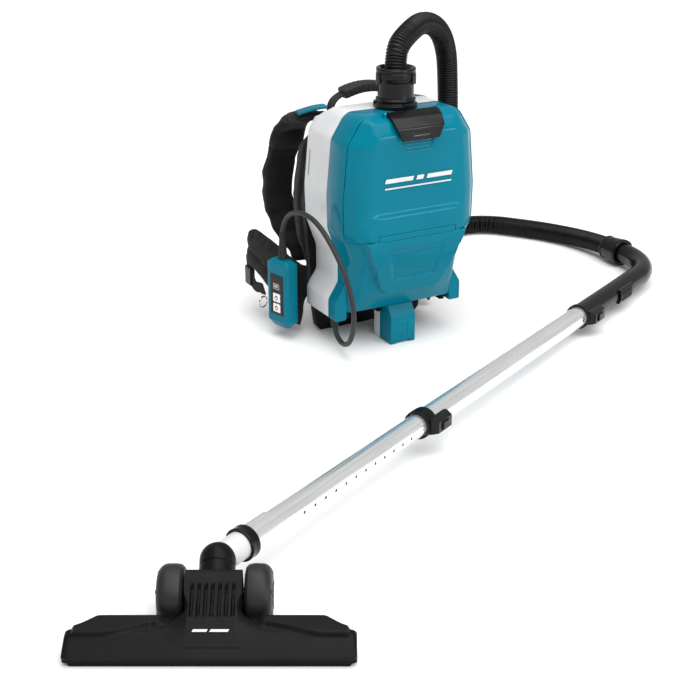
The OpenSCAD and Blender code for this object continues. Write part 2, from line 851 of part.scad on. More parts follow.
module unit_sleeve() {
    color(black)
    hull() {
        translate([-152, 85, unit_top_z + gap]) cylinder(h = 2, r = 7.5, $fn = 32);
        translate([-150, 89, 170]) cylinder(h = 2, r = 5, $fn = 32);
    }
}

module unit_clip() {
    color(black)
    place_unit()
    translate([-12, unit_d / 2 + gap, 40]) cube([24, 3, 56]);
}

module hose_cuff() {
    color(black)
    place_handle_end()
    difference() {
        union() {
            rod(gap, hose_cuff_len, hose_cuff_r - 2);
            rod(10, 16, hose_cuff_r);
            rod(hose_cuff_len - 8, hose_cuff_len, hose_cuff_r);
        }
        rod(gap - 1, hose_cuff_len + 1, hose_d / 2 + 1);
    }
}

// Saddle housing on the side of a tube, with a pocket for a push button.
button_w = 16;
button_t = 8;
button_rise = 14.5;
module lock_housing(x0, length, r) {
    difference() {
        hull() {
            translate([x0, -r - 12, -8]) cube([length, 6, 16]);
            translate([x0 - 4, -r - 2, -11]) cube([length + 8, 4, 22]);
        }
        rod(x0 - 20, x0 + length + 20, r);
        translate([x0 + (length - button_w) / 2 - gap, -r - 13, -6.3])
            cube([button_w + 2 * gap, 9, 12.6]);
    }
}

module lock_button(x_mid, r) {
    color([0.12, 0.12, 0.13])
    translate([x_mid - button_w / 2, -r - button_rise, -6]) cube([button_w, button_t, 12]);
}

// The curved handle: a spigot into the outer tube, a straight grip and a bend to the hose.
spigot_r = outer_tube_d / 2 - tube_wall - 0.1;
handle_lock_x = outer_tube_end + 8;
lock_len = 34;
module handle_pipe() {
    bore_r = 13;
    color(black) {
        place_wand()
        difference() {
            union() {
                rod(outer_tube_end - 38, outer_tube_end + 1, spigot_r);
                rod(outer_tube_end + 0.2, outer_tube_end + handle_straight + 0.1, handle_d / 2);
                rod(outer_tube_end + 0.2, outer_tube_end + 6, handle_d / 2 + 2);
                lock_housing(handle_lock_x, lock_len, handle_d / 2 - 1);
            }
            rod(outer_tube_end - 40, outer_tube_end + handle_straight + 1, bore_r);
            translate([outer_tube_end + 131, -handle_d / 2 - 1, -5]) cube([12, 9, 10]);
        }
        place_wand()
        translate([outer_tube_end + handle_straight, handle_bend_r, 0])
        rotate([0, 0, -90])
        rotate_extrude(angle = handle_bend_angle)
        translate([handle_bend_r, 0])
        difference() {
            circle(r = handle_d / 2);
            circle(r = bore_r);
        }
    }
}

// A shallow saddle on the outer side of the handle, which slides to open the air bleed.
module suction_slider() {
    x0 = outer_tube_end + 128;
    length = 52;
    color(black)
    place_wand()
    difference() {
        intersection() {
            pipe(x0, x0 + length, handle_d / 2 + 4, handle_d / 2 + 0.2);
            translate([x0 - 1, -handle_d, -12]) cube([length + 2, handle_d, 24]);
        }
        for (i = [0 : 4])
            translate([x0 + 14 + i * 5, -handle_d / 2 - 5, -14]) cube([2, 2, 28]);
    }
}

module handle_lock() {
    place_wand() lock_button(handle_lock_x + lock_len / 2, handle_d / 2 - 1);
}

tube_lock_x = outer_tube_x + 4;
collar_r_in = outer_tube_d / 2 + 0.1;
module tube_collar() {
    color(black)
    place_wand() {
        pipe(outer_tube_x - 6, outer_tube_x + 16, collar_r_in + 2.6, collar_r_in);
        difference() {
            lock_housing(tube_lock_x, lock_len, collar_r_in);
            rod(outer_tube_x - 7, outer_tube_x + 15.9, collar_r_in + 2.5);
        }
    }
}

module tube_lock_button() {
    place_wand() lock_button(tube_lock_x + lock_len / 2, collar_r_in);
}

module outer_tube() {
    r = outer_tube_d / 2;
    color(silver)
    place_wand()
    difference() {
        rod(outer_tube_x, outer_tube_end, r);
        rod(outer_tube_x - 1, outer_tube_end + 1, r - tube_wall);
        translate([outer_tube_end - 13, -r - 1, -2.5]) cube([6, 4, 7]);
    }
}

module inner_tube() {
    r = inner_tube_d / 2;
    x1 = inner_tube_x + inner_tube_len;
    color(silver)
    place_wand()
    difference() {
        union() {
            rod(inner_tube_x, x1, r);
            rod(inner_tube_x, inner_tube_x + socket_len, socket_r);
        }
        rod(inner_tube_x - 1, x1 + 1, r - tube_wall);
        rod(inner_tube_x - 1, inner_tube_x + socket_len - 1, socket_r - tube_wall);
        for (i = [0 : 11])
            translate([inner_tube_x + 90 + i * 22, -r, 0]) rotate([90, 0, 0])
                translate([0, 0, -2]) cylinder(h = 4, r = 2.2);
    }
}

// The neck: an elbow on the swivel and a pipe up into the inner tube, with a black stop ring.
neck_r = 16.4;
module neck_pipe() {
    color(pale)
    difference() {
        place_wand() {
            sphere(r = neck_r);
            rod(0, inner_tube_x + socket_len - 2, neck_r);
        }
        place_wand() rod(0, inner_tube_x + socket_len, neck_r - 3);
        place_nozzle() swivel_axis() rod(swivel_reach - 20, swivel_reach, 12);
    }
    color(black)
    place_wand() pipe(inner_tube_x - 14, inner_tube_x - gap, socket_r + 1.6, neck_r - 0.1);
}

// The tilting barrel between the wheels, with its outlet collar along the swivel axis.
barrel_r = 25;
barrel_half = 26;
collar_r = 19.5;
module swivel_axis() {
    rotate([swivel_pitch, 0, 0]) rotate([0, 0, 90]) children();
}

module nozzle_barrel() {
    color(black)
    place_nozzle()
    difference() {
        union() {
            rod(-barrel_half, barrel_half, barrel_r);
            swivel_axis() rod(0, 31, collar_r);
        }
        swivel_axis() rod(0, 60, 13);
        translate(swivel_reach * [0, cos(swivel_pitch), sin(swivel_pitch)]) sphere(r = neck_r + 0.5);
        rod(-barrel_half - 1, barrel_half + 1, axle_r + 0.08);
        translate([-16, -barrel_r - 1, -22]) cube([32, 22, 18]);
    }
}

hood_r = 32;
hood_half = 31;
head_front = -89;
head_back = -36;
channel_half = 118;
module nozzle_body() {
    half = nozzle_w / 2;
    profile = [[head_front, 4.2], [head_back, 4.2], [head_back, 26], [-44, 31], [-66, 27], [-80, 19],
        [head_front, 13]];
    color(black)
    translate([0, 0, -wheel_d / 2])
    place_nozzle() {
        difference() {
            union() {
                intersection() {
                    bar_yz(-half, half, profile);
                    linear_extrude(60)
                        polygon(mirrored([[half - 4, head_front], [half, head_front + 8],
                            [half, head_back - 14], [half - 10, head_back]]));
                }
                translate([0, 0, wheel_d / 2]) rod(-hood_half, hood_half, hood_r);
                bar_yz(-hood_half, hood_half, [[-64, 4.2], [-10, 4.2], [-10, 30], [-20, 56],
                    [-34, 44], [-52, 32], [-64, 27]]);
            }
            translate([0, 0, wheel_d / 2]) rod(-27, 27, barrel_r + 1);
            translate([0, 0, wheel_d / 2]) rod(-hood_half - 1, hood_half + 1, axle_r + 0.02);
            translate([-27, -13, -2]) cube([54, 68, wheel_d / 2 + 40]);
            translate([-hood_half - 1, 16, -2]) cube([2 * hood_half + 2, 60, 80]);
            translate([-channel_half, -80, 0]) cube([2 * channel_half, 30, 18]);
            translate([-22, -56, 0]) cube([44, 60, 20]);
            translate([-hood_half - 1, -70, -1]) cube([2 * hood_half + 2, 100, 5.2]);
            for (x = [-24 : 8 : 24])
                translate([x - 2, -60, 36]) cube([4, 50, 16]);
        }
    }
}

module nozzle_sole() {
    half = nozzle_w / 2 - 3;
    color([0.2, 0.2, 0.21])
    translate([0, 0, -wheel_d / 2])
    place_nozzle()
    difference() {
        linear_extrude(4) polygon(mirrored([[half - 4, head_front + 3], [half, head_front + 10],
            [half, head_back - 14], [half - 10, head_back - 2]]));
        translate([-channel_half + 6, -78, -1]) cube([2 * channel_half - 12, 26, 6]);
        for (y = [-82.5, -48])
            translate([-channel_half, y - 0.2, -1]) cube([2 * channel_half, 3.4, 3]);
    }
}

module brush_strips() {
    color([0.1, 0.1, 0.1])
    translate([0, 0, -wheel_d / 2])
    place_nozzle()
    for (y = [-82.5, -48])
        translate([-channel_half + 0.4, y, 0.2]) cube([2 * channel_half - 0.8, 3, 1.6]);
}

wheel_gap = 1;
axle_r = 5;
axle_half = hood_half + wheel_gap + wheel_w - 4;
module wheel_axle() {
    color(silver) place_nozzle() rod(-axle_half, axle_half, axle_r);
}

module wheel() {
    color([0.09, 0.09, 0.09])
    difference() {
        rod(hood_half + wheel_gap, hood_half + wheel_gap + wheel_w, wheel_d / 2);
        rod(hood_half, axle_half + 0.1, axle_r + 0.06);
    }
}

module wheel_left() {
    place_nozzle() mirror([1, 0, 0]) wheel();
}

module wheel_right() {
    place_nozzle() wheel();
}

rear_housing();
front_housing();
front_cover();
cover_latch();
latch_pin();
cover_hinge_pins();
inlet_port();
inlet_cuff();
chamber_floor();
dust_bag();
hepa_filter();
fan_casing();
fan();
motor();
motor_shaft();
motor_mount();
circuit_board();
battery_rails();
battery_terminals();
battery_guard();
guard_back();
side_insert();
housing_screws();
back_frame();
back_pad();
shoulder_strap_left();
shoulder_strap_right();
strap_trim();
hip_belt_left();
hip_belt_right();
belt_buckles();
belt_webbing();
belt_ring();
carry_strap();
carry_grip();
cable_gland();
control_cable();
unit_body();
unit_face();
button_power();
button_mode();
unit_sleeve();
unit_clip();
hose();
hose_cuff();
handle_pipe();
suction_slider();
handle_lock();
outer_tube();
tube_collar();
tube_lock_button();
inner_tube();
neck_pipe();
nozzle_barrel();
nozzle_body();
nozzle_sole();
brush_strips();
wheel_axle();
wheel_left();
wheel_right();
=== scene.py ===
"""The looks of the backpack vacuum cleaner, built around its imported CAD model."""

import json
import math

import bmesh
import bpy
import numpy as np
from mathutils import Matrix, Vector

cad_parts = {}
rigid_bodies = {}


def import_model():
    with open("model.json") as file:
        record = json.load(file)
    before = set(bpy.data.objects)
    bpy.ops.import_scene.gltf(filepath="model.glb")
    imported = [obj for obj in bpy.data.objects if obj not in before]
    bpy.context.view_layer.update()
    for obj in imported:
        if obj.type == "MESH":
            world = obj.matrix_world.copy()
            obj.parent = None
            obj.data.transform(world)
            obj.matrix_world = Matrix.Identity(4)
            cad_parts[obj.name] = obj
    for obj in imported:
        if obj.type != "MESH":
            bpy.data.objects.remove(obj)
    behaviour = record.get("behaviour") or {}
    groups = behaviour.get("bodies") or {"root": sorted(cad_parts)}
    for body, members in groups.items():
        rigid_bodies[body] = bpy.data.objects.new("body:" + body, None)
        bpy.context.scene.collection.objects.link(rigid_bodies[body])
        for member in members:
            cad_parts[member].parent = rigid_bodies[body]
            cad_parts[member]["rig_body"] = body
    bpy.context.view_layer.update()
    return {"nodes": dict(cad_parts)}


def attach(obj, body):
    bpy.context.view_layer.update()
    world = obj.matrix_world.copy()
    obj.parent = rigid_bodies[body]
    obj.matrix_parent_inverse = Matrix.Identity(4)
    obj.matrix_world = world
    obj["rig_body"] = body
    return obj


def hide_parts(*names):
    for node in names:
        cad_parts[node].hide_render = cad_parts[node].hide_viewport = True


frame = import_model()
NODES = frame["nodes"]
MM = 0.001


def new_object(name, data):
    made = bpy.data.objects.new(name, data)
    bpy.context.scene.collection.objects.link(made)
    return made


# -------- camera
def add_camera():
    heading, pitch = math.radians(29), math.radians(22.5)
    data = bpy.data.cameras.new("camera")
    data.lens = 72
    data.sensor_width = 36
    data.clip_end = 50
    camera = new_object("camera", data)
    forward = Vector((math.sin(heading) * math.cos(pitch), math.cos(heading) * math.cos(pitch),
                      -math.sin(pitch)))
    camera.location = (-1.0723, -1.7933, 0.84)
    camera.rotation_euler = forward.to_track_quat("-Z", "Y").to_euler()
    bpy.context.scene.camera = camera


add_camera()


# -------- materials
LEAST_WEAR_SHOWN = 1.3
THREADS_TO_SCALE = 6.28


def node(tree, kind, **settings):
    made = tree.nodes.new(kind)
    for key, value in settings.items():
        if hasattr(made, key):
            setattr(made, key, value)
        else:
            made.inputs[key.replace("_", " ").capitalize()].default_value = value
    return made


def place_texture(tree, scale=(1, 1, 1), rotation=(0, 0, 0)):
    source = tree.nodes.new("ShaderNodeTexCoord")
    mapping = tree.nodes.new("ShaderNodeMapping")
    mapping.vector_type = "TEXTURE"
    mapping.inputs["Scale"].default_value = [1 / s for s in scale]
    mapping.inputs["Rotation"].default_value = rotation
    tree.links.new(source.outputs["Object"], mapping.inputs["Vector"])
    return mapping.outputs["Vector"]


def noise(tree, vector, scale, detail=2.0):
    made = node(tree, "ShaderNodeTexNoise", Scale=scale, Detail=detail)
    tree.links.new(vector, made.inputs["Vector"])
    return made.outputs["Fac"]


def wave(tree, vector, scale, direction):
    made = node(tree, "ShaderNodeTexWave", bands_direction=direction, Scale=scale, Distortion=0.0)
    tree.links.new(vector, made.inputs["Vector"])
    return made.outputs["Fac"]


def ramp(tree, value, low, high, from_low=0.3, from_high=0.7):
    made = tree.nodes.new("ShaderNodeMapRange")
    made.inputs["From Min"].default_value = from_low
    made.inputs["From Max"].default_value = from_high
    made.inputs["To Min"].default_value = low
    made.inputs["To Max"].default_value = high
    tree.links.new(value, made.inputs["Value"])
    return made.outputs["Result"]


def math_node(tree, operation, a, b):
    made = node(tree, "ShaderNodeMath", operation=operation)
    for socket, value in zip(made.inputs, (a, b)):
        if isinstance(value, (int, float)):
            socket.default_value = value
        else:
            tree.links.new(value, socket)
    return made.outputs[0]


def mix_colours(tree, factor, a, b):
    """Two colours mixed by the factor. The first may come from a node."""
    made = tree.nodes.new("ShaderNodeMix")
    made.data_type = "RGBA"
    if isinstance(a, tuple):
        made.inputs[6].default_value = (*a, 1)
    else:
        tree.links.new(a, made.inputs[6])
    made.inputs[7].default_value = (*b, 1)
    tree.links.new(factor, made.inputs[0])
    return made.outputs[2]


def bump(tree, shader, height, strength, distance):
    made = node(tree, "ShaderNodeBump", Strength=strength, Distance=distance)
    tree.links.new(height, made.inputs["Height"])
    tree.links.new(made.outputs["Normal"], shader.inputs["Normal"])


def shade(colour, factor):
    return tuple(min(1.0, c * factor) for c in colour)


def new_material(name):
    made = bpy.data.materials.new(name)
    made.use_nodes = True
    return made, made.node_tree, made.node_tree.nodes["Principled BSDF"]


def moulded(name, colour, rough, coat=0.0, grain=0.25, grain_scale=1400.0, wear=1.25, gloss=0.3):
    """Moulded plastic: mottled gloss, fine spark-eroded grain and paler rubbed edges."""
    made, tree, shader = new_material(name)
    spot = place_texture(tree)
    cloudy = noise(tree, spot, 9.0, 4.0)
    body = mix_colours(tree, ramp(tree, cloudy, 0, 1), shade(colour, 0.93), shade(colour, 1.05))
    if wear > LEAST_WEAR_SHOWN:
        edges = tree.nodes.new("ShaderNodeNewGeometry").outputs["Pointiness"]
        scuffs = math_node(tree, "MULTIPLY", ramp(tree, edges, 0, 0.7, 0.56, 0.72),
                           ramp(tree, noise(tree, spot, 90.0, 3.0), 0, 1, 0.4, 0.65))
        rubbed = tuple(min(1.0, c * wear + 0.004) for c in colour)
        body = mix_colours(tree, scuffs, body, rubbed)
    tree.links.new(body, shader.inputs["Base Color"])
    tree.links.new(ramp(tree, noise(tree, spot, 35.0, 5.0), rough - 0.05, rough + 0.07),
                   shader.inputs["Roughness"])
    shader.inputs["Specular IOR Level"].default_value = gloss
    shader.inputs["Coat Weight"].default_value = coat
    shader.inputs["Coat Roughness"].default_value = 0.12
    bump(tree, shader, noise(tree, spot, grain_scale, 2.0), grain, 0.00012)
    return made


def woven(name, colour, threads, depth, sheen, rotation=(0, 0, 0)):
    """Woven cloth: crossing threads in every direction of the surface, with a dusty sheen."""
    made, tree, shader = new_material(name)
    spot = place_texture(tree, rotation=rotation)
    scale = threads / THREADS_TO_SCALE
    height = math_node(tree, "ADD", wave(tree, spot, scale, "X"), wave(tree, spot, scale, "Z"))
    height = math_node(tree, "ADD", height, wave(tree, spot, scale, "Y"))
    fuzz = math_node(tree, "MULTIPLY", noise(tree, spot, 260.0, 4.0), 1.6)
    height = math_node(tree, "ADD", height, fuzz)
    # The colour varies at random in patches, and the low parts of the weave are darker: painted shade between
    # the threads.
    cloudy = math_node(tree, "ADD", math_node(tree, "MULTIPLY", noise(tree, spot, 22.0, 4.0), 0.7),
                       math_node(tree, "MULTIPLY", height, 0.1))
    tone_and_thread_shade = ramp(tree, cloudy, 0, 1, 0.4, 0.8)
    tree.links.new(mix_colours(tree, tone_and_thread_shade, shade(colour, 0.65), shade(colour, 1.7)),
                   shader.inputs["Base Color"])
    tree.links.new(ramp(tree, noise(tree, spot, 60.0, 3.0), 0.72, 0.92), shader.inputs["Roughness"])
    shader.inputs["Specular IOR Level"].default_value = 0.2
    shader.inputs["Sheen Weight"].default_value = sheen
    shader.inputs["Sheen Roughness"].default_value = 0.5
    bump(tree, shader, height, depth, 0.0004)
    return made


def brushed(name, colour, rough, rotation, streak=420.0, metal=1.0):
    """Drawn and anodised metal, streaked along its length."""
    made, tree, shader = new_material(name)
    along = place_texture(tree, (6, streak, streak), rotation)
    fine = noise(tree, along, 1.0, 3.0)
    tree.links.new(mix_colours(tree, ramp(tree, fine, 0, 1), shade(colour, 0.9), shade(colour, 1.04)),
                   shader.inputs["Base Color"])
    smudge = math_node(tree, "ADD", ramp(tree, fine, rough - 0.06, rough + 0.06),
                       ramp(tree, noise(tree, place_texture(tree), 14.0, 4.0), -0.03, 0.05))
    tree.links.new(smudge, shader.inputs["Roughness"])
    shader.inputs["Metallic"].default_value = metal
    bump(tree, shader, fine, 0.06, 0.0001)
    return made


WAND_HEADING, WAND_PITCH = 27.95, 1.2
WAND_TURN = (0.0, math.radians(WAND_PITCH), math.radians(WAND_HEADING))
SOOT, INK = (0.005, 0.005, 0.0055), (0.004, 0.004, 0.0045)
TEAL = moulded("teal_gloss", (0.0, 0.150, 0.218), 0.2, coat=0.05, grain=0.02, wear=1.1, gloss=0.08)
PALE = moulded("pale_gloss", (0.58, 0.59, 0.60), 0.36, coat=0.1, grain=0.04, wear=1.03)
BLACK = moulded("black_grained", SOOT, 0.42, grain=0.3, grain_scale=1900.0, wear=2.2, gloss=0.12)
GLOSS_BLACK = moulded("black_gloss", INK, 0.2, coat=0.05, grain=0.04, wear=2.0, gloss=0.2)
NOZZLE = moulded("nozzle_black", SOOT, 0.36, grain_scale=1500.0, wear=2.2, gloss=0.09)
WHEEL = moulded("wheel_black", (0.016, 0.016, 0.0165), 0.44, grain=0.35, grain_scale=1200.0, wear=1.6,
                gloss=0.25)
GREY = moulded("grey_plastic", (0.30, 0.31, 0.32), 0.5)
WHITE = moulded("white_keys", (0.86, 0.86, 0.85), 0.42, grain=0.1, wear=1.0)
PRINT = moulded("pale_print", (0.62, 0.63, 0.64), 0.5, grain=0.05, wear=1.0)
RUBBER = moulded("rubber", (0.014, 0.014, 0.014), 0.62, grain=0.7, grain_scale=800.0, wear=1.8)
CABLE = moulded("cable_sheath", (0.022, 0.023, 0.024), 0.5, grain=0.35, grain_scale=1100.0, wear=1.5)
HOSE = moulded("hose_black", INK, 0.3, grain=0.12, wear=2.0, gloss=0.18)
PAD = woven("pad_nylon", SOOT, 1300.0, 0.55, 0.06)
MESH = woven("spacer_mesh", (0.007, 0.007, 0.0075), 620.0, 0.9, 0.08, (0.0, math.radians(45), 0.0))
WEBBING = woven("webbing", (0.006, 0.006, 0.0065), 1700.0, 0.8, 0.08)
TEAL_CLOTH = woven("teal_piping", (0.0, 0.12, 0.17), 1500.0, 0.5, 0.1)
FLEECE = woven("bag_fleece", (0.62, 0.59, 0.52), 700.0, 0.3, 0.4)
ALUMINIUM = brushed("anodised_tube", (0.95, 0.955, 0.96), 0.2, WAND_TURN, streak=260.0, metal=0.85)
STEEL = brushed("turned_steel", (0.6, 0.6, 0.61), 0.3, (0, 0, 0))
CHROME = brushed("polished_ring", (0.82, 0.82, 0.83), 0.12, (0, 0, 0), 60.0)
BOARD = moulded("solder_mask", (0.01, 0.09, 0.04), 0.35, coat=0.3)


# -------- helpers
SIDES = (("left", -1), ("right", 1))
SHARP = 32  # degrees between faces, from which their edge is drawn sharp
STRAP_SIDES = 24


def smooth_steps(x, points, radius):
    """The line through the points, with its corners rounded over the radius."""
    xs, ys = np.array(points, float).T
    x = np.asarray(x, float)
    reach = np.clip(x - xs[0], 0, radius)
    taps = 9
    return sum(np.interp(x + k * reach, xs, ys) for k in np.linspace(-1, 1, taps)) / taps


def ease(x):
    x = np.clip(x, 0, 1)
    return x * x * (3 - 2 * x)


def soft_min(a, b, k):
    h = np.clip(0.5 + 0.5 * (b - a) / k, 0, 1)
    return b * (1 - h) + a * h - k * h * (1 - h)


def rounded(points, radius, steps, closed=False):
    """The outline with an arc of a few points at each corner."""
    p = [np.array(q, float) for q in points]
    made = []
    for i, q in enumerate(p):
        if not closed and i in (0, len(p) - 1):
            made.append(q)
            continue
        back, on = p[i - 1] - q, p[(i + 1) % len(p)] - q
        reach = min(radius, 0.45 * np.linalg.norm(back), 0.45 * np.linalg.norm(on))
        a = q + back / np.linalg.norm(back) * reach
        b = q + on / np.linalg.norm(on) * reach
        for t in np.linspace(0, 1, steps):
            made.append((1 - t) ** 2 * a + 2 * t * (1 - t) * q + t * t * b)
    return np.array(made)


def grid_faces(rows, cols, wrap=False, keep=None):
    faces = []
    for r in range(rows - 1):
        low, high = r * cols, (r + 1) * cols
        for c in range(cols if wrap else cols - 1):
            if keep is None or keep(r, c):
                d = (c + 1) % cols
                faces.append((low + c, low + d, high + d, high + c))
    return faces


def piece(name, verts, faces, body, material, sharp=SHARP, replaces=(), matrix=None):
    """A mesh in millimetres of the part's frame, riding on a body."""
    mesh = bpy.data.meshes.new(name)
    mesh.from_pydata([tuple(v) for v in np.asarray(verts, float) * MM], [], faces)
    if matrix is not None:
        mesh.transform(matrix)
    mesh.materials.append(material)
    made = new_object(name, mesh)
    finish_mesh(made, sharp)
    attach(made, body)
    if replaces:
        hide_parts(*replaces)
    return made


def loft_faces(rings, sides):
    """The faces between closed rings, and one at each end."""
    ends = [tuple(range(sides))[::-1], tuple(range((rings - 1) * sides, rings * sides))]
    return grid_faces(rings, sides, wrap=True) + ends


def mirrored(half, first=-1):
    """A whole outline: its half on the first side, and then back along the other."""
    return [(first * x, y) for x, y in half] + [(-first * x, y) for x, y in half[::-1]]


def shade_smooth(mesh, sharp):
    for polygon in mesh.polygons:
        polygon.use_smooth = True
    mesh.set_sharp_from_angle(angle=math.radians(sharp))


def finish_mesh(made, sharp):
    bm = bmesh.new()
    bm.from_mesh(made.data)
    bmesh.ops.remove_doubles(bm, verts=bm.verts, dist=1e-6)
    loose = [v for v in bm.verts if not v.link_faces]
    bmesh.ops.delete(bm, geom=loose, context="VERTS")
    bmesh.ops.recalc_face_normals(bm, faces=bm.faces)
    bm.to_mesh(made.data)
    bm.free()
    shade_smooth(made.data, sharp)


def thicken(made, thickness):
    solid = made.modifiers.new("wall", "SOLIDIFY")
    solid.thickness = thickness * MM
    solid.offset = -1


def bevel(made, width, segments, angle=30):
    edge = made.modifiers.new("edges", "BEVEL")
    edge.width = width * MM
    edge.segments = segments
    edge.limit_method = "ANGLE"
    edge.angle_limit = math.radians(angle)
    return made


def copy_node(cad_node, name, material):
    """A new object with a CAD node's mesh and one material."""
    mesh = NODES[cad_node].data.copy()
    mesh.materials.clear()
    mesh.materials.append(material)
    return new_object(name, mesh)


def restyle(cad_node, material, width, segments=3):
    """A CAD node's own shape, as one clean mesh with rounded edges."""
    source = NODES[cad_node]
    made = copy_node(cad_node, "skin_" + cad_node, material)
    mesh = made.data
    bm = bmesh.new()
    bm.from_mesh(mesh)
    bmesh.ops.remove_doubles(bm, verts=bm.verts, dist=5e-6)
    bmesh.ops.dissolve_limit(bm, angle_limit=math.radians(1.0), verts=bm.verts, edges=bm.edges)
    bmesh.ops.recalc_face_normals(bm, faces=bm.faces)
    bm.to_mesh(mesh)
    bm.free()
    for attribute in [a for a in mesh.attributes if a.name == "custom_normal"]:
        mesh.attributes.remove(attribute)
    shade_smooth(mesh, SHARP)
    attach(made, source["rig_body"])
    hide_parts(cad_node)
    return bevel(made, width, segments)


def restyle_all(material, slot, **widths):
    """Restyles several CAD nodes, each with the width of its rounded edges."""
    for cad_node, width in widths.items():
        restyle(cad_node, material, width)


def lathe(name, outline, place, body, material, segments, radius, replaces=()):
    """A turned piece: outline is (along, radius) points of its closed section."""
    section = rounded(outline, radius, 4, True)
    section = np.vstack([section, section[:1]])
    verts = [(a, r * math.cos(t), r * math.sin(t)) for a, r in section
             for t in np.linspace(0, 2 * math.pi, segments, endpoint=False)]
    faces = grid_faces(len(section), segments, wrap=True)
    piece(name, verts, faces, body, material, replaces=replaces, matrix=place)


def prism(name, outline, low, high, place, body, material, edge, segments=3):
    """A plate: its outline in X and Y, from low to high in Z, with rounded edges."""
    n = len(outline)
    verts = [(*p, low) for p in outline] + [(*p, high) for p in outline]
    faces = [tuple(range(n))[::-1], tuple(range(n, 2 * n))]
    faces += [(i, (i + 1) % n, n + (i + 1) % n, n + i) for i in range(n)]
    made = piece(name, verts, faces, body, material, matrix=place)
    return bevel(made, edge, segments)


def box_outline(x0, x1, y0, y1, radius):
    return rounded([(x0, y0), (x1, y0), (x1, y1), (x0, y1)], radius, 5, True)


def join(name, pieces):
    """Several pieces of one moulding, as one."""
    first = pieces[0]
    bpy.ops.object.select_all(action="DESELECT")
    for made in pieces:
        bpy.context.view_layer.objects.active = made
        made.select_set(True)
        for modifier in list(made.modifiers):
            bpy.ops.object.modifier_apply(modifier=modifier.name)
    bpy.context.view_layer.objects.active = first
    bpy.ops.object.join()
    first.name = name


def catmull(points, per_span):
    p = [np.array(q, float) for q in points]
    made = []
    for i in range(len(p) - 1):
        a, b, c, d = p[max(i - 1, 0)], p[i], p[i + 1], p[min(i + 2, len(p) - 1)]
        for t in np.arange(per_span) / per_span:
            made.append(0.5 * (2 * b + (c - a) * t + (2 * a - 5 * b + 4 * c - d) * t * t
                               + (3 * b - a - 3 * c + d) * t ** 3))
    return np.array(made + [p[-1]])


def measure(points):
    """How far along the line each of its points is."""
    return np.concatenate([[0], np.cumsum(np.linalg.norm(np.diff(points, axis=0), axis=1))])


def even(points, step):
    """The same line with a point every step."""
    far = measure(points)
    want = np.linspace(0, far[-1], max(2, int(round(far[-1] / step)) + 1))
    return np.array([[np.interp(s, far, column) for column in points.T] for s in want])


def frames_along(path, side):
    """The direction, and two directions across, at each point of the path."""
    along = np.gradient(path, axis=0)
    along /= np.linalg.norm(along, axis=1)[:, None]
    n = np.array(side, float)
    made = []
    for t in along:
        n = n - (n @ t) * t
        n /= np.linalg.norm(n)
        made.append((t, n.copy(), np.cross(t, n)))
    return made


def tube(name, path, radii, sides, side, material, replaces, sharp=60):
    """A closed tube along the path, with one radius or its own radius at each ring."""
    verts = []
    for q, r, (_, n, m) in zip(path, np.broadcast_to(radii, len(path)), frames_along(path, side)):
        for a in np.linspace(0, 2 * math.pi, sides, endpoint=False):
            verts.append(q + r * (math.cos(a) * n + math.sin(a) * m))
    return piece(name, verts, loft_faces(len(path), sides), "pack", material, sharp, replaces)


def strap(name, path, widths, thickness, side, material, replaces=(), crown=0.0):
    """A flat band along the path, its width along side, with soft rounded edges."""
    widths = np.broadcast_to(widths, len(path))
    section = []
    for a in np.linspace(0, 2 * math.pi, STRAP_SIDES, endpoint=False):
        u = math.copysign(abs(math.cos(a)) ** 0.35, math.cos(a))
        v = math.copysign(abs(math.sin(a)) ** 0.6, math.sin(a))
        section.append((u / 2, v / 2))
    verts = []
    for i, q in enumerate(path):
        t = path[min(i + 1, len(path) - 1)] - path[max(i - 1, 0)]
        t = t / np.linalg.norm(t)
        u = np.array(side, float) - (np.array(side, float) @ t) * t
        u /= np.linalg.norm(u)
        n = np.cross(t, u)
        for a, b in section:
            verts.append(q + u * a * widths[i] + n * b * (thickness + crown * (1 - (2 * a) ** 2)))
    piece(name, verts, loft_faces(len(path), STRAP_SIDES), "pack", material, 45, replaces)


def place_at(position, *turns):
    """A matrix from millimetres, with turns as (degrees, axis), the last one applied first."""
    made = Matrix.Translation(Vector(position) * MM)
    for degrees, axis in turns:
        made = made @ Matrix.Rotation(math.radians(degrees), 4, axis)
    return made


# -------- shared measures, in mm
AXLE = (-579, -609, 32)
SWIVEL_REACH, SWIVEL_PITCH, NOZZLE_HEADING = 40, 30, -29
NOZZLE_BACK = math.radians(NOZZLE_HEADING + 90)
LIFT = math.radians(SWIVEL_PITCH)
ELBOW = (AXLE[0] + SWIVEL_REACH * math.cos(LIFT) * math.cos(NOZZLE_BACK),
         AXLE[1] + SWIVEL_REACH * math.cos(LIFT) * math.sin(NOZZLE_BACK),
         AXLE[2] + SWIVEL_REACH * math.sin(LIFT))
WAND = place_at(ELBOW, (WAND_HEADING, "Z"), (WAND_PITCH, "Y"))
NOZZLE_AT = place_at((AXLE[0], AXLE[1], 0), (NOZZLE_HEADING, "Z"))
AXLE_AT = place_at(AXLE, (NOZZLE_HEADING, "Z"))
SWIVEL = AXLE_AT @ Matrix.Rotation(LIFT, 4, "X") @ Matrix.Rotation(math.radians(90), 4, "Z")
UNIT = place_at((-153, 85, 18), (-76, "Z"))
UPRIGHT = Matrix.Rotation(math.radians(-90), 4, "Y")


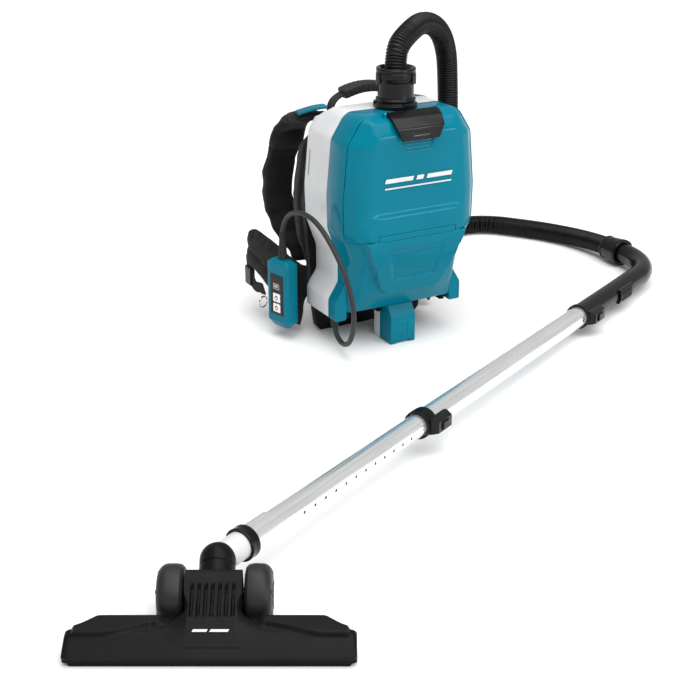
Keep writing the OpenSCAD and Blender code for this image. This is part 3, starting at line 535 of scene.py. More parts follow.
# -------- the two cords
HOSE_ROUTE = [(0, 0, 412), (0, 0, 442), (8, 4, 463), (38, 22, 478), (72, 46, 483), (108, 70, 474),
              (136, 88, 452), (152, 98, 420), (158, 102, 380), (162, 105, 335), (168, 113, 280),
              (178, 132, 220), (193, 165, 160), (214, 212, 106), (244, 270, 62), (286, 332, 32),
              (338, 378, 19), (392, 392, 18), (440, 376, 18), (477, 334, 18), (508, 288, 18),
              (530, 238, 19), (539, 190, 22), (541, 150, 24.5), (542, 118, 25)]
CABLE_ROUTE = [(-150, 89, 172), (-149, 82, 190), (-148, 65, 207), (-146, 38, 217), (-143, 6, 217),
               (-140, -24, 206), (-136, -52, 184), (-132, -76, 156), (-128, -90, 124),
               (-124, -94, 92), (-120, -84, 58), (-116, -64, 33), (-112, -38, 22), (-109, -14, 26),
               (-106, -2, 37), (-106, -1, 43)]


def add_hose():
    """Corrugated hose: a rib every four millimetres."""
    pitch, outer, root = 4.0, 17.0, 15.2
    flank = (outer + root) / 2 + 0.35
    route = catmull(HOSE_ROUTE, 8)
    line = even(route, pitch / 4)
    radii = [(root, flank, outer, flank)[i % 4] for i in range(len(line))]
    made = tube("corrugated_hose", line, radii, 24, (0, 1, 0), HOSE, ["hose"], 75)


def add_cable():
    """The control unit's round cable."""
    route = catmull(CABLE_ROUTE, 8)
    line = even(route, 2.5)
    made = tube("control_lead", line, 4.0, 16, (0, 1, 0), CABLE, ["control_cable"])


add_hose()
add_cable()


# -------- front cover
TONGUE = 68.4
COVER_LOW, COVER_TOP, COVER_BACK = 187.4, 371.6, -44.3
COVER_SIDE = [(187.4, 111), (197, 113), (250, 114), (334, 106), (364, 86), (371.6, 76)]
LATCH_EAR = [(-50, 366), (-44, 366), (-44, 374.6), (-45.2, 376.6), (-47, 377.2), (-48.8, 376.6), (-50, 374.6)]
EMBLEM_BARS = [(-58, -10, 276, 6.5), (-4, 8, 276, 6.5), (14, 58, 276, 6.5), (-58, 58, 266.5, 2.2)]


def cover_depth(x, z):
    """How far the cover stands forward of its rim."""
    edge = smooth_steps(z, COVER_SIDE, 2) - np.abs(x)
    side = smooth_steps(edge, [(0, 0), (13.5, 15.2), (31, 25.2), (300, 25.2)], 3.5)
    top = smooth_steps(COVER_TOP - z, [(0, 0), (6.6, 14.8), (27, 25.2), (400, 25.2)], 3.0)
    dome = np.maximum(soft_min(side, top, 4), 0)
    belly, recess, ledge = 3.0, 1.6, 1.2
    step = ease((232 - z) / 11) * (1 - ease((np.abs(x) - 62) / 26))
    inner = 30 - 0.33 * (342 - z)
    pocket = ease((inner - np.abs(x)) / 2.5) * ease((z - 321) / 2.5) * ease((352 - z) / 4)
    shelf = ease((z - 331) / 1.5)
    return dome + belly * step - pocket * (recess + ledge * shelf)


def add_cover():
    middle = np.linspace(-TONGUE, TONGUE, 77)
    out = np.sin(np.linspace(0, math.pi / 2, 24))[1:]
    low_rows = np.linspace(COVER_LOW, 196.5, 6)
    rows = np.concatenate([low_rows, np.linspace(198, COVER_TOP, 100)])
    verts = []
    for z in rows:
        half = smooth_steps(z, COVER_SIDE, 2)
        wing = TONGUE + (half - TONGUE) * out
        x = np.concatenate([-wing[::-1], middle, wing])
        y = COVER_BACK - cover_depth(x, z)
        verts += [(a, b, z) for a, b in zip(x, y)]
    cols = len(middle) + 2 * len(out)
    first, last = len(out), len(out) + len(middle) - 1

    def keep(r, c):
        return not (r < len(low_rows) - 1 and first <= c < last)

    made = piece("cover_shell", verts, grid_faces(len(rows), cols, keep=keep), "cover",
                 TEAL, 40, ["front_cover"])
    thicken(made, 2.4)
    bevel(made, 0.35, 2, 60)
    hinge = place_at((0, -69, 184))
    for side, s in SIDES:
        lathe(f"hinge_knuckle_{side}", [(s * 68.8, 1.3), (s * 68.8, 2.8), (s * 74.6, 2.8), (s * 74.6, 1.3)],
              hinge, "cover", TEAL, 32, 0.4)
        x0, x1 = sorted((s * 69, s * 74.5))
        prism(f"hinge_arm_{side}", [(x0, -2.6), (x1, -2.6), (x1, 2.4), (x0, 2.4)], 1.5, 4.2, hinge,
              "cover", TEAL, 0.3)
        sideways = Matrix(((0, 0, s, 0), (1, 0, 0, 0), (0, 1, 0, 0), (0, 0, 0, 1)))
        prism(f"latch_ear_{side}", LATCH_EAR, 46, 49.4, sideways, "cover", TEAL, 0.5)


def add_emblem():
    """Plain raised bars on the cover, in place of any lettering."""
    face = place_at((0, -69.6, 0), (90, "X"))
    made = []
    for i, (x0, x1, z, height) in enumerate(EMBLEM_BARS):
        lean = 0.35 * height
        corners = [(x0, z), (x1, z), (x1 + lean, z + height), (x0 + lean, z + height)]
        made.append(prism(f"bar_{i}", rounded(corners, 1.0, 3, True), -0.2, 0.25, face, "cover",
                          PRINT, 0.12, segments=2))
    join("cover_bars", made)


# -------- latch
def add_latch():
    """The black over-centre latch: a bent plate, wide at the top, with two grip grooves."""
    spine = rounded([(-46.6, 376.6), (-48.6, 376.2), (-62, 370.6), (-75.2, 357), (-76, 337.8)], 2.4, 5)
    levels, halves = (337.8, 357, 371, 378), (31.5, 40.5, 43, 44)
    line, cols = even(spine, 0.9), 56
    verts = []
    for y, z in line:
        half = float(np.interp(z, levels, halves))
        for u in np.linspace(-1, 1, cols):
            x = u * half
            bulge = 1.3 * (1 - u * u) * ease((372 - z) / 14)
            grooves = sum(ease(1 - abs(z - g) / 0.9) for g in (345.5, 348.5))
            groove = 0.5 * ease((15 - abs(x)) / 2) * grooves
            verts.append((x, y - bulge + groove, z + 0.25 * (1 - u * u)))
    made = piece("latch_plate", verts, grid_faces(len(line), cols), "latch",
                 GLOSS_BLACK, 50, ["cover_latch"])
    thicken(made, 3.2)
    bevel(made, 0.7, 3, 50)
    lathe("latch_hub", [(-40, 1.2), (-40, 2.2), (40, 2.2), (40, 1.2)], place_at((0, -47, 374.6)), "latch",
          GLOSS_BLACK, 32, 0.4)


# -------- teal front housing
def add_front_rim():
    """The side and top walls that the cover closes on."""
    half = [(111.2, 187), (115, 197), (116, 250), (108, 334), (88, 365), (78, 372)]
    line = even(rounded(mirrored(half), 5, 7), 3.0)
    along = np.gradient(line, axis=0)
    along /= np.linalg.norm(along, axis=1)[:, None]
    normal = np.stack([-along[:, 1], along[:, 0]], axis=1)
    depth = [(5.85, 0.9), (5.6, 0.35), (4.9, 0.05), (-20, 0), (-43.0, 0.05), (-43.7, 0.4), (-44.0, 1.0)]
    verts = [(x, y, z) for y, inset in depth for x, z in line - normal * inset]
    made = piece("front_rim", verts, grid_faces(len(depth), len(line)), "pack", TEAL, 40,
                 ["front_housing"])
    thicken(made, 3.0)


CHIN_SECTIONS = {62: [(97, 5.8), (96, -12), (90, -19), (60, -21)],
                 98: [(97, 5.8), (94, -24), (84, -38), (54, -47)],
                 147: [(97, 5.8), (95, -36), (84, -51), (68, -59)],
                 168: [(104.5, 5.8), (103, -40.5), (91, -55), (74, -66)],
                 187: [(111.2, 5.8), (110, -44), (96.5, -59), (78, -71.4)]}


def chin_section(z):
    """The chin's outline at a height, with the same number of points at every height."""
    half = []
    for k in range(4):
        lines = [[(level, section[k][axis]) for level, section in CHIN_SECTIONS.items()] for axis in (0, 1)]
        half.append([smooth_steps(z, line, 5) for line in lines])
    arc = 6
    outline = rounded(mirrored(half), 7, arc)
    corners = [outline[:1]] + [outline[1 + arc * i:1 + arc * (i + 1)] for i in range(6)] + [outline[-1:]]
    straights = (14, 5, 6, 76, 6, 5, 14)
    made = []
    for i, count in enumerate(straights):
        made += list(corners[i])
        a, b = corners[i][-1], corners[i + 1][0]
        made += [a + (b - a) * t for t in np.linspace(0, 1, count + 2)[1:-1]]
    return np.array(made + list(corners[-1]))


def bib(x, y, z):
    """The raised panel on the chin, with the shallow tray in it."""
    x = np.abs(x)
    width = np.interp(z, [94, 97, 103, 112, 177, 190], [40, 46, 55, 60, 86, 90])
    plane = smooth_steps(z, [(60, -40), (96, -53), (150, -68.5), (176, -71.8), (200, -71.8)], 6)
    mask = ease((width - x) / 2.6) * ease((z - 94.5) / 2.4)
    tray_width = np.interp(z, [118, 121, 150, 171], [36, 40, 47, 54])
    tray = ease((tray_width - x) / 7) * ease((z - 117.5) / 3) * ease((172 - z) / 9)
    raised = plane + 2.6 * tray - 0.7 * ease((24 - x) / 2) * ease(1 - np.abs(z - 130) / 1.3)
    return y + (np.minimum(raised, y) - y) * mask


def add_chin():
    rows = np.concatenate([np.linspace(62, 66, 4), np.linspace(68, 187, 78)])
    verts = []
    for z in rows:
        section = chin_section(z)
        y = bib(section[:, 0], section[:, 1], z)
        pinch = 0.8 * ease((64 - z) / 2)
        for (x, _), b in zip(section, y):
            verts.append((x * (1 - pinch / 100), b + pinch, z))
    shell = piece("chin", verts, grid_faces(len(rows), len(section)), "pack", TEAL, 35)
    thicken(shell, 2.8)
    outline = [(x * 0.992, y + 0.8) for x, y in chin_section(62)]
    base = prism("chin_base", outline, 62.2, 65, Matrix.Identity(4), "pack", TEAL, 0.4)
    patch = []
    cols, rows = 60, 9
    for z in np.linspace(186.5, 196.2, rows):
        for x in np.linspace(-68, 68, cols):
            back = 0.9 * (ease((z - 195.2) / 1.0) + ease((abs(x) - 67.2) / 0.8))
            patch.append((x, -71.8 + back, z))
    tongue = piece("tongue", patch, grid_faces(rows, cols), "pack", TEAL)
    thicken(tongue, 3.0)
    join("chin_shell", [shell, base, tongue])


def add_feet():
    """The two feet beside the battery bays. The cable's gland goes up into the left one."""
    corners = [(94, 50), (114, 50), (114, 80), (98.5, 106), (93, 108), (93, 66), (94, 62)]
    outline = rounded(corners, 3.0, 5, True)
    for side, s in SIDES:
        place = Matrix(((s, 0, 0, 0), (0, 0, 1, 0), (0, 1, 0, 0), (0, 0, 0, 1)))
        made = prism(f"foot_{side}", outline, -17.8, 5.8, place, "pack", TEAL, 3.5,
                     segments=6)
        made.modifiers["edges"].angle_limit = math.radians(60)


# -------- pale rear housing
def add_rear():
    half = [(94, 62), (94, 50), (114, 50), (114, 82), (97, 108), (97, 147), (115, 197), (116, 250),
            (108, 334), (88, 365), (78, 372)]
    outline = rounded(mirrored(half, 1), 4, 6, True)
    line = even(np.vstack([outline, outline[:1]]), 3.0)[:-1]
    along = np.roll(line, -1, axis=0) - np.roll(line, 1, axis=0)
    along /= np.linalg.norm(along, axis=1)[:, None]
    normal = np.stack([along[:, 1], -along[:, 0]], axis=1)
    depth = [(6.15, 0.9), (6.4, 0.35), (7.1, 0.05), (30, 0), (44, 0), (45.5, 0), (47, 0), (49, 0), (60, 0),
             (76.6, 0.05), (78.2, 0.5), (79, 1.6)]
    verts = []
    for y, inset in depth:
        roof = smooth_steps(y, [(6, 372), (46, 372), (80, 351)], 2) - inset
        verts += [(x, y, min(z, roof)) for x, z in line - normal * inset]
    n = len(line)
    faces = grid_faces(len(depth), n, wrap=True)
    faces.append(tuple(range((len(depth) - 1) * n, len(depth) * n)))
    made = piece("rear_shell", verts, faces, "pack", PALE, 40, ["rear_housing"])
    thicken(made, 2.8)


# -------- hose connection on the top
def ring_lug(name, degrees, inner, outer, half, low, high, body):
    """A small block standing out of a ring."""
    place = Matrix.Rotation(math.radians(degrees), 4, "Z")
    prism(name, box_outline(inner, outer, -half, half, 1.0), low, high, place, body,
          GLOSS_BLACK, 0.7)


def add_inlet():
    lathe("port_ring", [(341, 20.4), (341, 26), (371.5, 26), (372.2, 33), (378, 33), (379.5, 30),
                        (381.8, 29.6), (381.8, 20.4)],
          UPRIGHT, "pack", GLOSS_BLACK, 96, 0.7, ["inlet_port"])
    for i, degrees in enumerate((30, 150, 270)):
        ring_lug(f"port_lug_{i}", degrees, 29, 33.6, 5.5, 373, 381.6, "pack")
    lathe("cuff_sleeve", [(382.3, 18.6), (382.3, 30), (384.4, 30.5), (386, 30.2), (387, 28), (389, 27.4),
                          (411, 27.4), (412.6, 28.6), (416.4, 29.6), (417.2, 30), (424.5, 30), (425.2, 29.3),
                          (426.4, 29.3), (427, 30), (430.4, 30), (432, 28.6), (431.4, 25), (427, 21.5),
                          (423, 18.7)],
          UPRIGHT, "cuff", GLOSS_BLACK, 96, 0.8, ["inlet_cuff"])
    for i, degrees in enumerate((-60, 60, 180)):
        ring_lug(f"cuff_lug_{i}", degrees, 28.8, 32.3, 5, 409, 424, "cuff")


# -------- control unit
LEVEL_SYMBOL = [(-7, 7, 64.5, 65.3), (-7, 7, 73, 73.8), (-7, -6.2, 65, 73.4), (6.2, 7, 65, 73.4),
                (-4.5, -2.5, 67, 71.5), (-1.5, 0.5, 67, 71.5), (1.5, 3.5, 67, 71.5)]


def add_unit():
    restyle("unit_body", TEAL, 2.2, segments=5)
    front = UNIT @ place_at((0, -13.1, 0), (90, "X"))
    marks = [prism(f"unit_mark_{i}", box_outline(*box, 0.2), 0.35, 0.6, front, "pack",
                   PRINT, 0.06, segments=1) for i, box in enumerate(LEVEL_SYMBOL)]
    join("unit_display", marks)
    top = UNIT @ place_at((0, -14.0, 0), (90, "X"))
    for z, body, name in ((33, "power_key", "power"), (50, "mode_key", "mode")):
        dots = [a for a in range(0, 360, 30) if not (name == "power" and a == 90)]
        boxes = []
        for a in dots:
            c, d = 3.1 * math.cos(math.radians(a)), 3.1 * math.sin(math.radians(a))
            boxes.append((f"dot_{a}", box_outline(c - 0.65, c + 0.65, z + d - 0.65, z + d + 0.65, 0.3)))
        boxes.append(("bar", box_outline(-0.5, 0.5, z, z + 4, 0.2)))
        join(f"{name}_icon", [prism(f"{name}_{part}", outline, -0.1, 0.12, top, body,
                                    GLOSS_BLACK, 0.04, segments=1) for part, outline in boxes])
    foot, tip = np.array((-152, 85, 130.3)), np.array((-150, 89, 172))
    along = np.linspace(0, 1, 43)
    line = np.array([foot + (tip - foot) * t for t in along])
    radii = [7.4 - 2.5 * t - (0.55 if i % 3 == 1 and 4 < i < 38 else 0) for i, t in enumerate(along)]
    tube("lead_sleeve", line, radii, 24, (1, 0, 0), RUBBER, ["unit_sleeve"], 50)


# -------- harness
CLOTH_FRAMES = 20
SEAM_DEPTH, SEAM_WIDTH = 3.2, 3.0


def read_points(mesh, attribute="co"):
    flat = np.zeros(len(mesh.vertices) * 3)
    mesh.vertices.foreach_get(attribute, flat)
    return flat.reshape(-1, 3)


def move_points(mesh, points):
    mesh.vertices.foreach_set("co", points.ravel())
    mesh.update()


def inflate(cad_node, name, material, voxel, pressure, ripple, seams, reach):
    """A padded piece: the CAD form remeshed, blown up as cloth, then sewn."""
    made = copy_node(cad_node, name, material)
    bpy.context.view_layer.objects.active = made
    bpy.ops.object.select_all(action="DESELECT")
    made.select_set(True)
    remesh = made.modifiers.new("remesh", "REMESH")
    remesh.mode = "VOXEL"
    remesh.voxel_size = voxel
    bpy.ops.object.modifier_apply(modifier=remesh.name)
    mesh = made.data
    start = read_points(mesh)
    cloth = made.modifiers.new("cloth", "CLOTH")
    fabric = cloth.settings
    fabric.use_pressure = True
    fabric.uniform_pressure_force = pressure
    fabric.effector_weights.gravity = 0
    fabric.quality = 4
    fabric.tension_stiffness = fabric.compression_stiffness = 12
    fabric.mass = 0.3
    cloth.point_cache.frame_end = CLOTH_FRAMES
    scene = bpy.context.scene
    for f in range(1, CLOTH_FRAMES + 1):
        scene.frame_set(f)
    blown = made.evaluated_get(bpy.context.evaluated_depsgraph_get()).to_mesh()
    move = read_points(blown) - start
    made.modifiers.clear()
    scene.frame_set(1)
    far = np.linalg.norm(move, axis=1)
    limit = reach * MM
    move *= (limit * np.tanh(far / limit) / np.maximum(far, 1e-9))[:, None]
    placed = start + move
    move_points(mesh, placed)
    normals = read_points(mesh, "normal")
    q = placed / MM
    swell = ripple * (np.sin(q[:, 2] / 9.0 + 1.3 * np.sin(q[:, 0] / 17.0)) * 0.5
                      + np.sin(q[:, 2] / 5.3 + q[:, 1] / 11.0 + 0.7) * 0.3
                      + np.sin(q[:, 0] / 12.0 - q[:, 2] / 21.0 + 2.1) * 0.4)
    for seam in seams:
        swell -= SEAM_DEPTH * np.exp(-(seam(q) / SEAM_WIDTH) ** 2)
    placed += normals * (swell * MM)[:, None]
    move_points(mesh, placed)
    for polygon in mesh.polygons:
        polygon.use_smooth = True
    fine = made.modifiers.new("fine", "SUBSURF")
    fine.levels = fine.render_levels = 1
    bpy.ops.object.modifier_apply(modifier=fine.name)
    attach(made, "pack")
    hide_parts(cad_node)


def fill_out(name, middle, widen, shift=0.0, back=118):
    """Widens a pad about its middle line, and bows its lower half sideways, clear of where it is sewn."""
    for vertex in bpy.data.objects[name].data.vertices:
        y, z = vertex.co.y / MM, vertex.co.z / MM
        free = float(ease((y - back) / 50) * ease((z - 110) / 50))
        wide = (vertex.co.x / MM - middle) * widen * float(ease((336 - z) / 50))
        vertex.co.x += free * (wide + shift * float(ease((310 - z) / 100))) * MM


STRAP_X, STRAP_BOW, STRAP_LIFT = 92, 7.0, 9.2
STRAP_LINE = [(92, 336), (112, 343), (138, 338), (166, 318), (190, 284), (203, 245), (204, 205), (194, 170),
              (168, 142), (140, 126), (129, 110)]
CARRY_LINE = [(-62, 92, 350.8), (-61, 92, 362), (-54, 92, 372), (-38, 92, 380), (-18, 92, 385),
              (0, 92, 386.5), (18, 92, 385), (38, 92, 380), (54, 92, 372), (61, 92, 362), (62, 92, 350.8)]


def add_harness():
    inflate("back_pad", "back_cushion", MESH, 0.006, 3.0, 0.5,
            [lambda q: q[:, 2] - 105, lambda q: q[:, 2] - 215, lambda q: q[:, 2] - 292,
             lambda q: np.where(q[:, 1] > 108, q[:, 0], 99)], 3.0)
    fill_out("back_cushion", 0, 0.1, back=0)
    for side, s in SIDES:
        inflate(f"shoulder_strap_{side}", f"shoulder_pad_{side}", PAD, 0.005, 4.0, 2.5,
                [lambda q, s=s: np.abs(q[:, 0] - s * STRAP_X) - 25], 4.0)
        inflate(f"hip_belt_{side}", f"hip_pad_{side}", PAD, 0.005, 4.0, 2.0,
                [lambda q: q[:, 2] - (70 + (q[:, 1] - 87) * 0.42)], 4.0)
        line = even(catmull([(s * STRAP_X, y, z) for y, z in STRAP_LINE[1:-1]], 6), 4.0)
        centre = np.array((s * STRAP_X, 130, 230))
        across = [m for _, _, m in frames_along(line, (1, 0, 0))]
        outwards = [m if m @ (q - centre) > 0 else -m for q, m in zip(line, across)]
        lifted = np.array([q + (STRAP_LIFT if m[1] > 0 or m[2] > 0.5 else -STRAP_LIFT) * m
                           for q, m in zip(line, outwards)])
        strap(f"adjuster_{side}", lifted, 24, 1.6, (1, 0, 0), WEBBING)
        prism(f"ladder_lock_{side}", box_outline(s * STRAP_X - 16, s * STRAP_X + 16, -9, 9, 3), -2.2, 2.2,
              place_at((0, 212.5, 222), (90, "X")), "pack", GLOSS_BLACK, 0.8)
        for name, widen in (("shoulder_pad", 0.2), ("adjuster", 0), ("ladder_lock", 0)):
            fill_out(f"{name}_{side}", s * (STRAP_X - STRAP_BOW), widen, s * STRAP_BOW)
        tail = catmull([(s * 151.5, 213, 98), (s * 151.5, 210, 80), (s * 151.3, 204, 60), (s * 150, 194, 50),
                        (s * 148, 184, 50), (s * 146, 170, 51)], 8)
        strap(f"belt_tail_{side}", tail, 22, 2.6, (0, 1, -0.6), WEBBING, ["belt_webbing"])
        trim = catmull([(s * 68, 100, 360.5), (s * 84, 100, 360), (s * 100, 101, 357.5),
                        (s * 114, 103, 354.3)], 8)
        strap(f"shoulder_trim_{side}", trim, np.linspace(20, 18, len(trim)), 4.5, (0, 1, 0),
              TEAL_CLOTH, ["strap_trim"], crown=2.0)
    carry = even(catmull(CARRY_LINE, 8), 2.0)
    strap("carry_webbing", carry, 22, 2.6, (0, 1, 0), WEBBING, ["carry_strap"])
    grip = np.array([q for q in carry if abs(q[0]) < 42])
    widths = [30 - (3.0 if i % 4 == 0 else 0) - 6 * ease((abs(q[0]) - 36) / 6) for i, q in enumerate(grip)]
    strap("hand_grip", grip, widths, 15.5, (0, 1, 0), RUBBER, ["carry_grip"])


# -------- wand
def add_wand():
    restyle_all(PALE, "pale_housing", neck_pipe=0.6)
    restyle_all(ALUMINIUM, "tube_aluminium", inner_tube=0.25, outer_tube=0.3)
    restyle_all(GLOSS_BLACK, "black_plastic", tube_collar=1.4, tube_lock_button=1.6, handle_pipe=1.2,
                handle_lock=1.2, suction_slider=1.2, belt_buckles=2.2)
    restyle_all(STEEL, "steel", wheel_axle=0.5)
    lathe("neck_band", [(37.6, 16.6), (37.6, 19.6), (39, 20.1), (44, 19.5), (50.4, 20.1), (51.9, 19.6),
                        (51.9, 16.6)], WAND, "lower_wand", GLOSS_BLACK, 64, 0.6)
    for i in range(4):
        x0, x1 = 425.5 + 4 * i, 427.3 + 4 * i
        lathe(f"collar_ring_{i}", [(x0, 18.6), (x0, 19.7), (x1, 19.7), (x1, 18.6)], WAND, "pack",
              GLOSS_BLACK, 64, 0.3)
    on_top = WAND @ Matrix.Rotation(math.radians(90), 4, "X")
    for i in range(9):
        prism(f"slider_rib_{i}", box_outline(1062 + 4.4 * i, 1063.8 + 4.4 * i, -7.5, 7.5, 0.6), 20.5, 22.6,
              on_top, "air_slider", GLOSS_BLACK, 0.3)


def add_cuff():
    """The bell that joins the hose to the handle."""
    turn, bend, start = math.radians(64), 130, 1173
    end = Vector((start + bend * math.sin(turn), bend * (1 - math.cos(turn)), 0)) * MM
    place = WAND @ Matrix.Translation(end) @ Matrix.Rotation(turn, 4, "Z")
    lathe("cuff_bell", [(0.4, 18.3), (0.4, 23.4), (2, 24.3), (9, 24.3), (10.5, 23.6), (24, 22.4), (38, 20.6),
                        (43, 20.4), (45, 19.6), (45, 17.8)], place, "hose_swivel",
          GLOSS_BLACK, 96, 1.2, ["hose_cuff"])
    lathe("cuff_seal", [(41, 20.2), (41, 21.4), (44.8, 21.4), (44.8, 19)], place, "hose_swivel",
          RUBBER, 96, 0.7)


# -------- floor nozzle
HEAD_TOP = [(-89, 13), (-80, 19), (-66, 27), (-44, 31), (-36, 26)]
HOOD_BASE = [(-90, 11.2), (-80, 17.1), (-66, 25.0), (-44, 29.0), (-36, 23), (-30, 8), (4, 8)]
HOOD_TOP = [(-80, 17.9), (-68, 25.9), (-58, 31.2), (-48, 37), (-38, 43.6), (-27, 51), (-16, 60.2),
            (-6, 63.4), (4, 63.4)]


def add_head():
    """The long low head: an end-to-end loft with rounded ends and a slanted back."""
    half, cap, sole = 150, 7, 4.4
    xs = np.concatenate([-half + cap * (1 - np.cos(np.linspace(0, math.pi / 2, 10))),
                         np.linspace(-142, 142, 143),
                         half - cap * (1 - np.cos(np.linspace(math.pi / 2, 0, 10)))])
    verts = []
    for x in xs:
        u = abs(x)
        end = math.sqrt(max(0.0, 1 - (max(0.0, u - (half - cap)) / 7.2) ** 2))
        squeeze = 0.72 + 0.28 * end
        back = -36.5 - 22 * ease((u - 102) / 44)
        front = -88.6 + 3 * (1 - end)
        y = np.linspace(front + 0.4, back - 1.2, 46)
        top = smooth_steps(y, HEAD_TOP, 1.5) - 1.2
        crease = -70 + 15 * ease((118 - u) / 66)
        lift = 4.2 * ease((y - crease) / 2.2) * ease((143 - u) / 2.4) * ease((u - 44) / 12)
        z = sole + (top + lift - sole) * squeeze
        lip = [(front + 1.6, sole), (front + 1.9, 7.0), (front + 1.2, 9.6), (front, 11.6)]
        lip = [(a, sole + (b - sole) * squeeze) for a, b in lip]
        tail = [(back - 0.2, z[-1] - 1.4), (back, z[-1] - 3), (back, sole)]
        verts += [(x, a, b) for a, b in lip + list(zip(y, z)) + tail]
    piece("head_shell", verts, loft_faces(len(xs), len(verts) // len(xs)), "nozzle",
          NOZZLE, 38, ["nozzle_body"])


def add_hood():
    """The hood over the axle, flaring down into the head, with seven slots pressed into it."""
    ys = np.concatenate([np.linspace(-80, -30, 51), np.linspace(-29, -3.4, 28)])
    xs = np.linspace(-1, 1, 141)
    verts = []
    for y in ys:
        half = 27.5 + 4 * ease((y + 40) / 14)
        flare = 46 * ease((-27 - y) / 40) + 0.8
        base = smooth_steps(y, HOOD_BASE, 2)
        top = smooth_steps(y, HOOD_TOP, 3)
        run = ease((y + 50) / 1.2) * ease((-20 - y) / 1.2)
        for k in xs:
            u = abs(k) * (half + flare)
            t = float(np.clip((u - half + 1.5) / (flare + 1.5), 0, 1))
            z = base + (top - base) * (1 - t) ** 1.8
            slot = max(ease((1.75 - abs(u - c)) / 0.5) for c in (0, 7.2, 14.4, 21.6))
            verts.append((math.copysign(u, k), y, z - 5.0 * slot * run))
    made = piece("hood", verts, grid_faces(len(ys), len(xs)), "nozzle", NOZZLE, 40)
    thicken(made, 1.6)
    marks = []
    for name, x0, x1 in (("hood_mark", -19, -4), ("hood_mark_2", -1, 18)):
        outline = rounded([(x0, 0), (x1, 0), (x1 + 1.5, 3), (x0 + 1.5, 3)], 0.4, 3, True)
        marks.append(prism(name, outline, 0, 0.5, place_at((0, -66, 27.9), (28, "X")), "nozzle",
                           PRINT, 0.15))
    join("hood_bars", marks)


def add_wheels():
    section = [(-0.3, 5.4), (-0.3, 31.9), (22, 31.9), (29, 25), (29, 15), (26.5, 13), (26.5, 8), (29, 6.5),
               (29, 5.4)]
    inner = 32.0
    for side, s in SIDES:
        body = f"{side}_wheel"
        lathe(f"roller_{side}", [(s * (inner + a), r) for a, r in section], AXLE_AT, body,
              WHEEL, 96, 9.0, [f"wheel_{side}"])
        x0, x1 = sorted((s * 59.4, s * 61.3))
        for k in range(5):
            spoke = AXLE_AT @ Matrix.Rotation(math.radians(72 * k), 4, "X")
            prism(f"spoke_{side}_{k}", box_outline(x0, x1, 15.5, 24, 0.9), -1.8, 1.8, spoke, body,
                  WHEEL, 0.6)


def add_swivel():
    restyle("nozzle_barrel", NOZZLE, 1.0)
    dome = [(31.6, 13), (31.6, 19.0), (33, 19.6), (40, 19.8)]
    dome += [(40 + 19.8 * math.sin(a), 19.8 * math.cos(a)) for a in np.linspace(0.15, 1.5, 12)]
    lathe("elbow_dome", dome + [(59.7, 0.4)], SWIVEL, "lower_wand", NOZZLE, 72, 0.3)
    restyle("nozzle_sole", NOZZLE, 0.8)


def add_bristles():
    """Two rows of short bristles under the head, each leaning a little its own way."""
    root, w = 3.4, 0.42
    for i, y in enumerate((-84, -42)):
        verts, faces = [], []
        rng = np.random.default_rng(5 + i)
        for x in range(-140, 140):
            lean = rng.normal(0, 0.5)
            b = len(verts)
            verts += [(x - w, y - w, root), (x + w, y - w, root), (x + w, y + w, root), (x - w, y + w, root),
                      (x + lean, y + lean * 0.5, 0.35)]
            faces += [(b, b + 1, b + 4), (b + 1, b + 2, b + 4), (b + 2, b + 3, b + 4), (b + 3, b, b + 4),
                      (b + 3, b + 2, b + 1, b)]
        piece(f"bristles_{i}", verts, faces, "nozzle", RUBBER, 20, matrix=NOZZLE_AT)


def add_nozzle():
    add_head()
    add_hood()
    for name in ("head_shell", "hood", "hood_bars"):
        bpy.data.objects[name].data.transform(NOZZLE_AT)
    add_wheels()
    add_swivel()
    add_bristles()


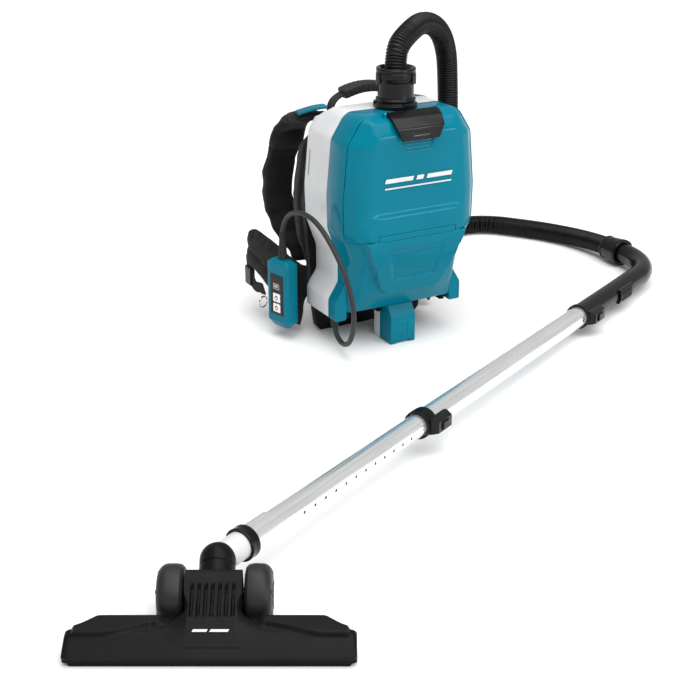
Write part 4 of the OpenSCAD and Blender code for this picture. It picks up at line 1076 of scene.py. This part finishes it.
def add_plain_parts():
    """Every other CAD node, in its own shape with rounded edges or with a new material only."""
    restyle_all(TEAL, "teal_housing", battery_guard=1.4)
    restyle_all(PALE, "pale_housing", guard_back=1.2)
    restyle_all(BLACK, "black_plastic", back_frame=1.6, battery_rails=0.5, battery_terminals=0.3)
    restyle_all(RUBBER, "rubber_parts", motor_mount=0.8)
    restyle_all(BLACK, "black_plastic", chamber_floor=0.6, unit_clip=0.8)
    restyle_all(WHITE, "white_buttons", button_power=1.0, button_mode=1.0)
    restyle_all(GLOSS_BLACK, "black_panel", unit_face=0.25)
    insert = restyle("side_insert", GREY, 0.3)
    proud = 0.8
    insert.data.transform(Matrix.Translation((-proud * MM, 0, 0)))
    for material, cad_nodes in (
            (STEEL, ("latch_pin", "cover_hinge_pins", "fan", "motor", "motor_shaft", "housing_screws")),
            (FLEECE, ("hepa_filter", "dust_bag")), (BLACK, ("fan_casing",)), (BOARD, ("circuit_board",)),
            (RUBBER, ("brush_strips", "cable_gland")), (CHROME, ("belt_ring",))):
        for cad_node in cad_nodes:
            NODES[cad_node].data.materials.clear()
            NODES[cad_node].data.materials.append(material)


add_inlet()
add_unit()
add_harness()
add_wand()
add_cuff()
add_nozzle()
add_cover()
add_emblem()
add_latch()
add_front_rim()
add_chin()
add_feet()
add_rear()
add_plain_parts()


# -------- light and floor
def add_light(name, location, target, size, power):
    data = bpy.data.lights.new(name, "AREA")
    data.shape = "RECTANGLE"
    data.size, data.size_y = size
    data.energy = power
    lamp = new_object(name, data)
    lamp.location = location
    lamp.rotation_euler = (Vector(target) - Vector(location)).to_track_quat("-Z", "Y").to_euler()


def add_stage():
    half, level = 12.0, -0.0005
    corners = [(-half, -half, level), (half, -half, level), (half, half, level), (-half, half, level)]
    mesh = bpy.data.meshes.new("floor")
    mesh.from_pydata(corners, [], [(0, 1, 2, 3)])
    floor = new_object("floor", mesh)
    made, tree, shader = new_material("pale_floor")
    cloudy = noise(tree, place_texture(tree), 3.0, 3.0)
    tree.links.new(mix_colours(tree, cloudy, (0.86, 0.86, 0.86), (0.9, 0.9, 0.9)),
                   shader.inputs["Base Color"])
    shader.inputs["Roughness"].default_value = 0.9
    mesh.materials.append(made)
    world = bpy.data.worlds.new("studio")
    bpy.context.scene.world = world
    world.use_nodes = True
    background = world.node_tree.nodes["Background"]
    background.inputs["Color"].default_value = (1, 1, 1, 1)
    background.inputs["Strength"].default_value = 0.46
    sun = bpy.data.lights.new("sky", "SUN")
    sun.energy = 2.9
    sun.angle = math.radians(70)
    sky = new_object("sky", sun)
    sky.rotation_euler = (math.radians(30), math.radians(4), 0)
    add_light("overhead", (-0.3, 0.0, 1.9), (0, 0, 0.2), (1.6, 1.0), 14)
    add_light("low_band", (1.35, -2.75, 0.5), (0, -0.07, 0.225), (1.1, 0.3), 20)
    bpy.context.scene.view_settings.view_transform = "Standard"


add_stage()
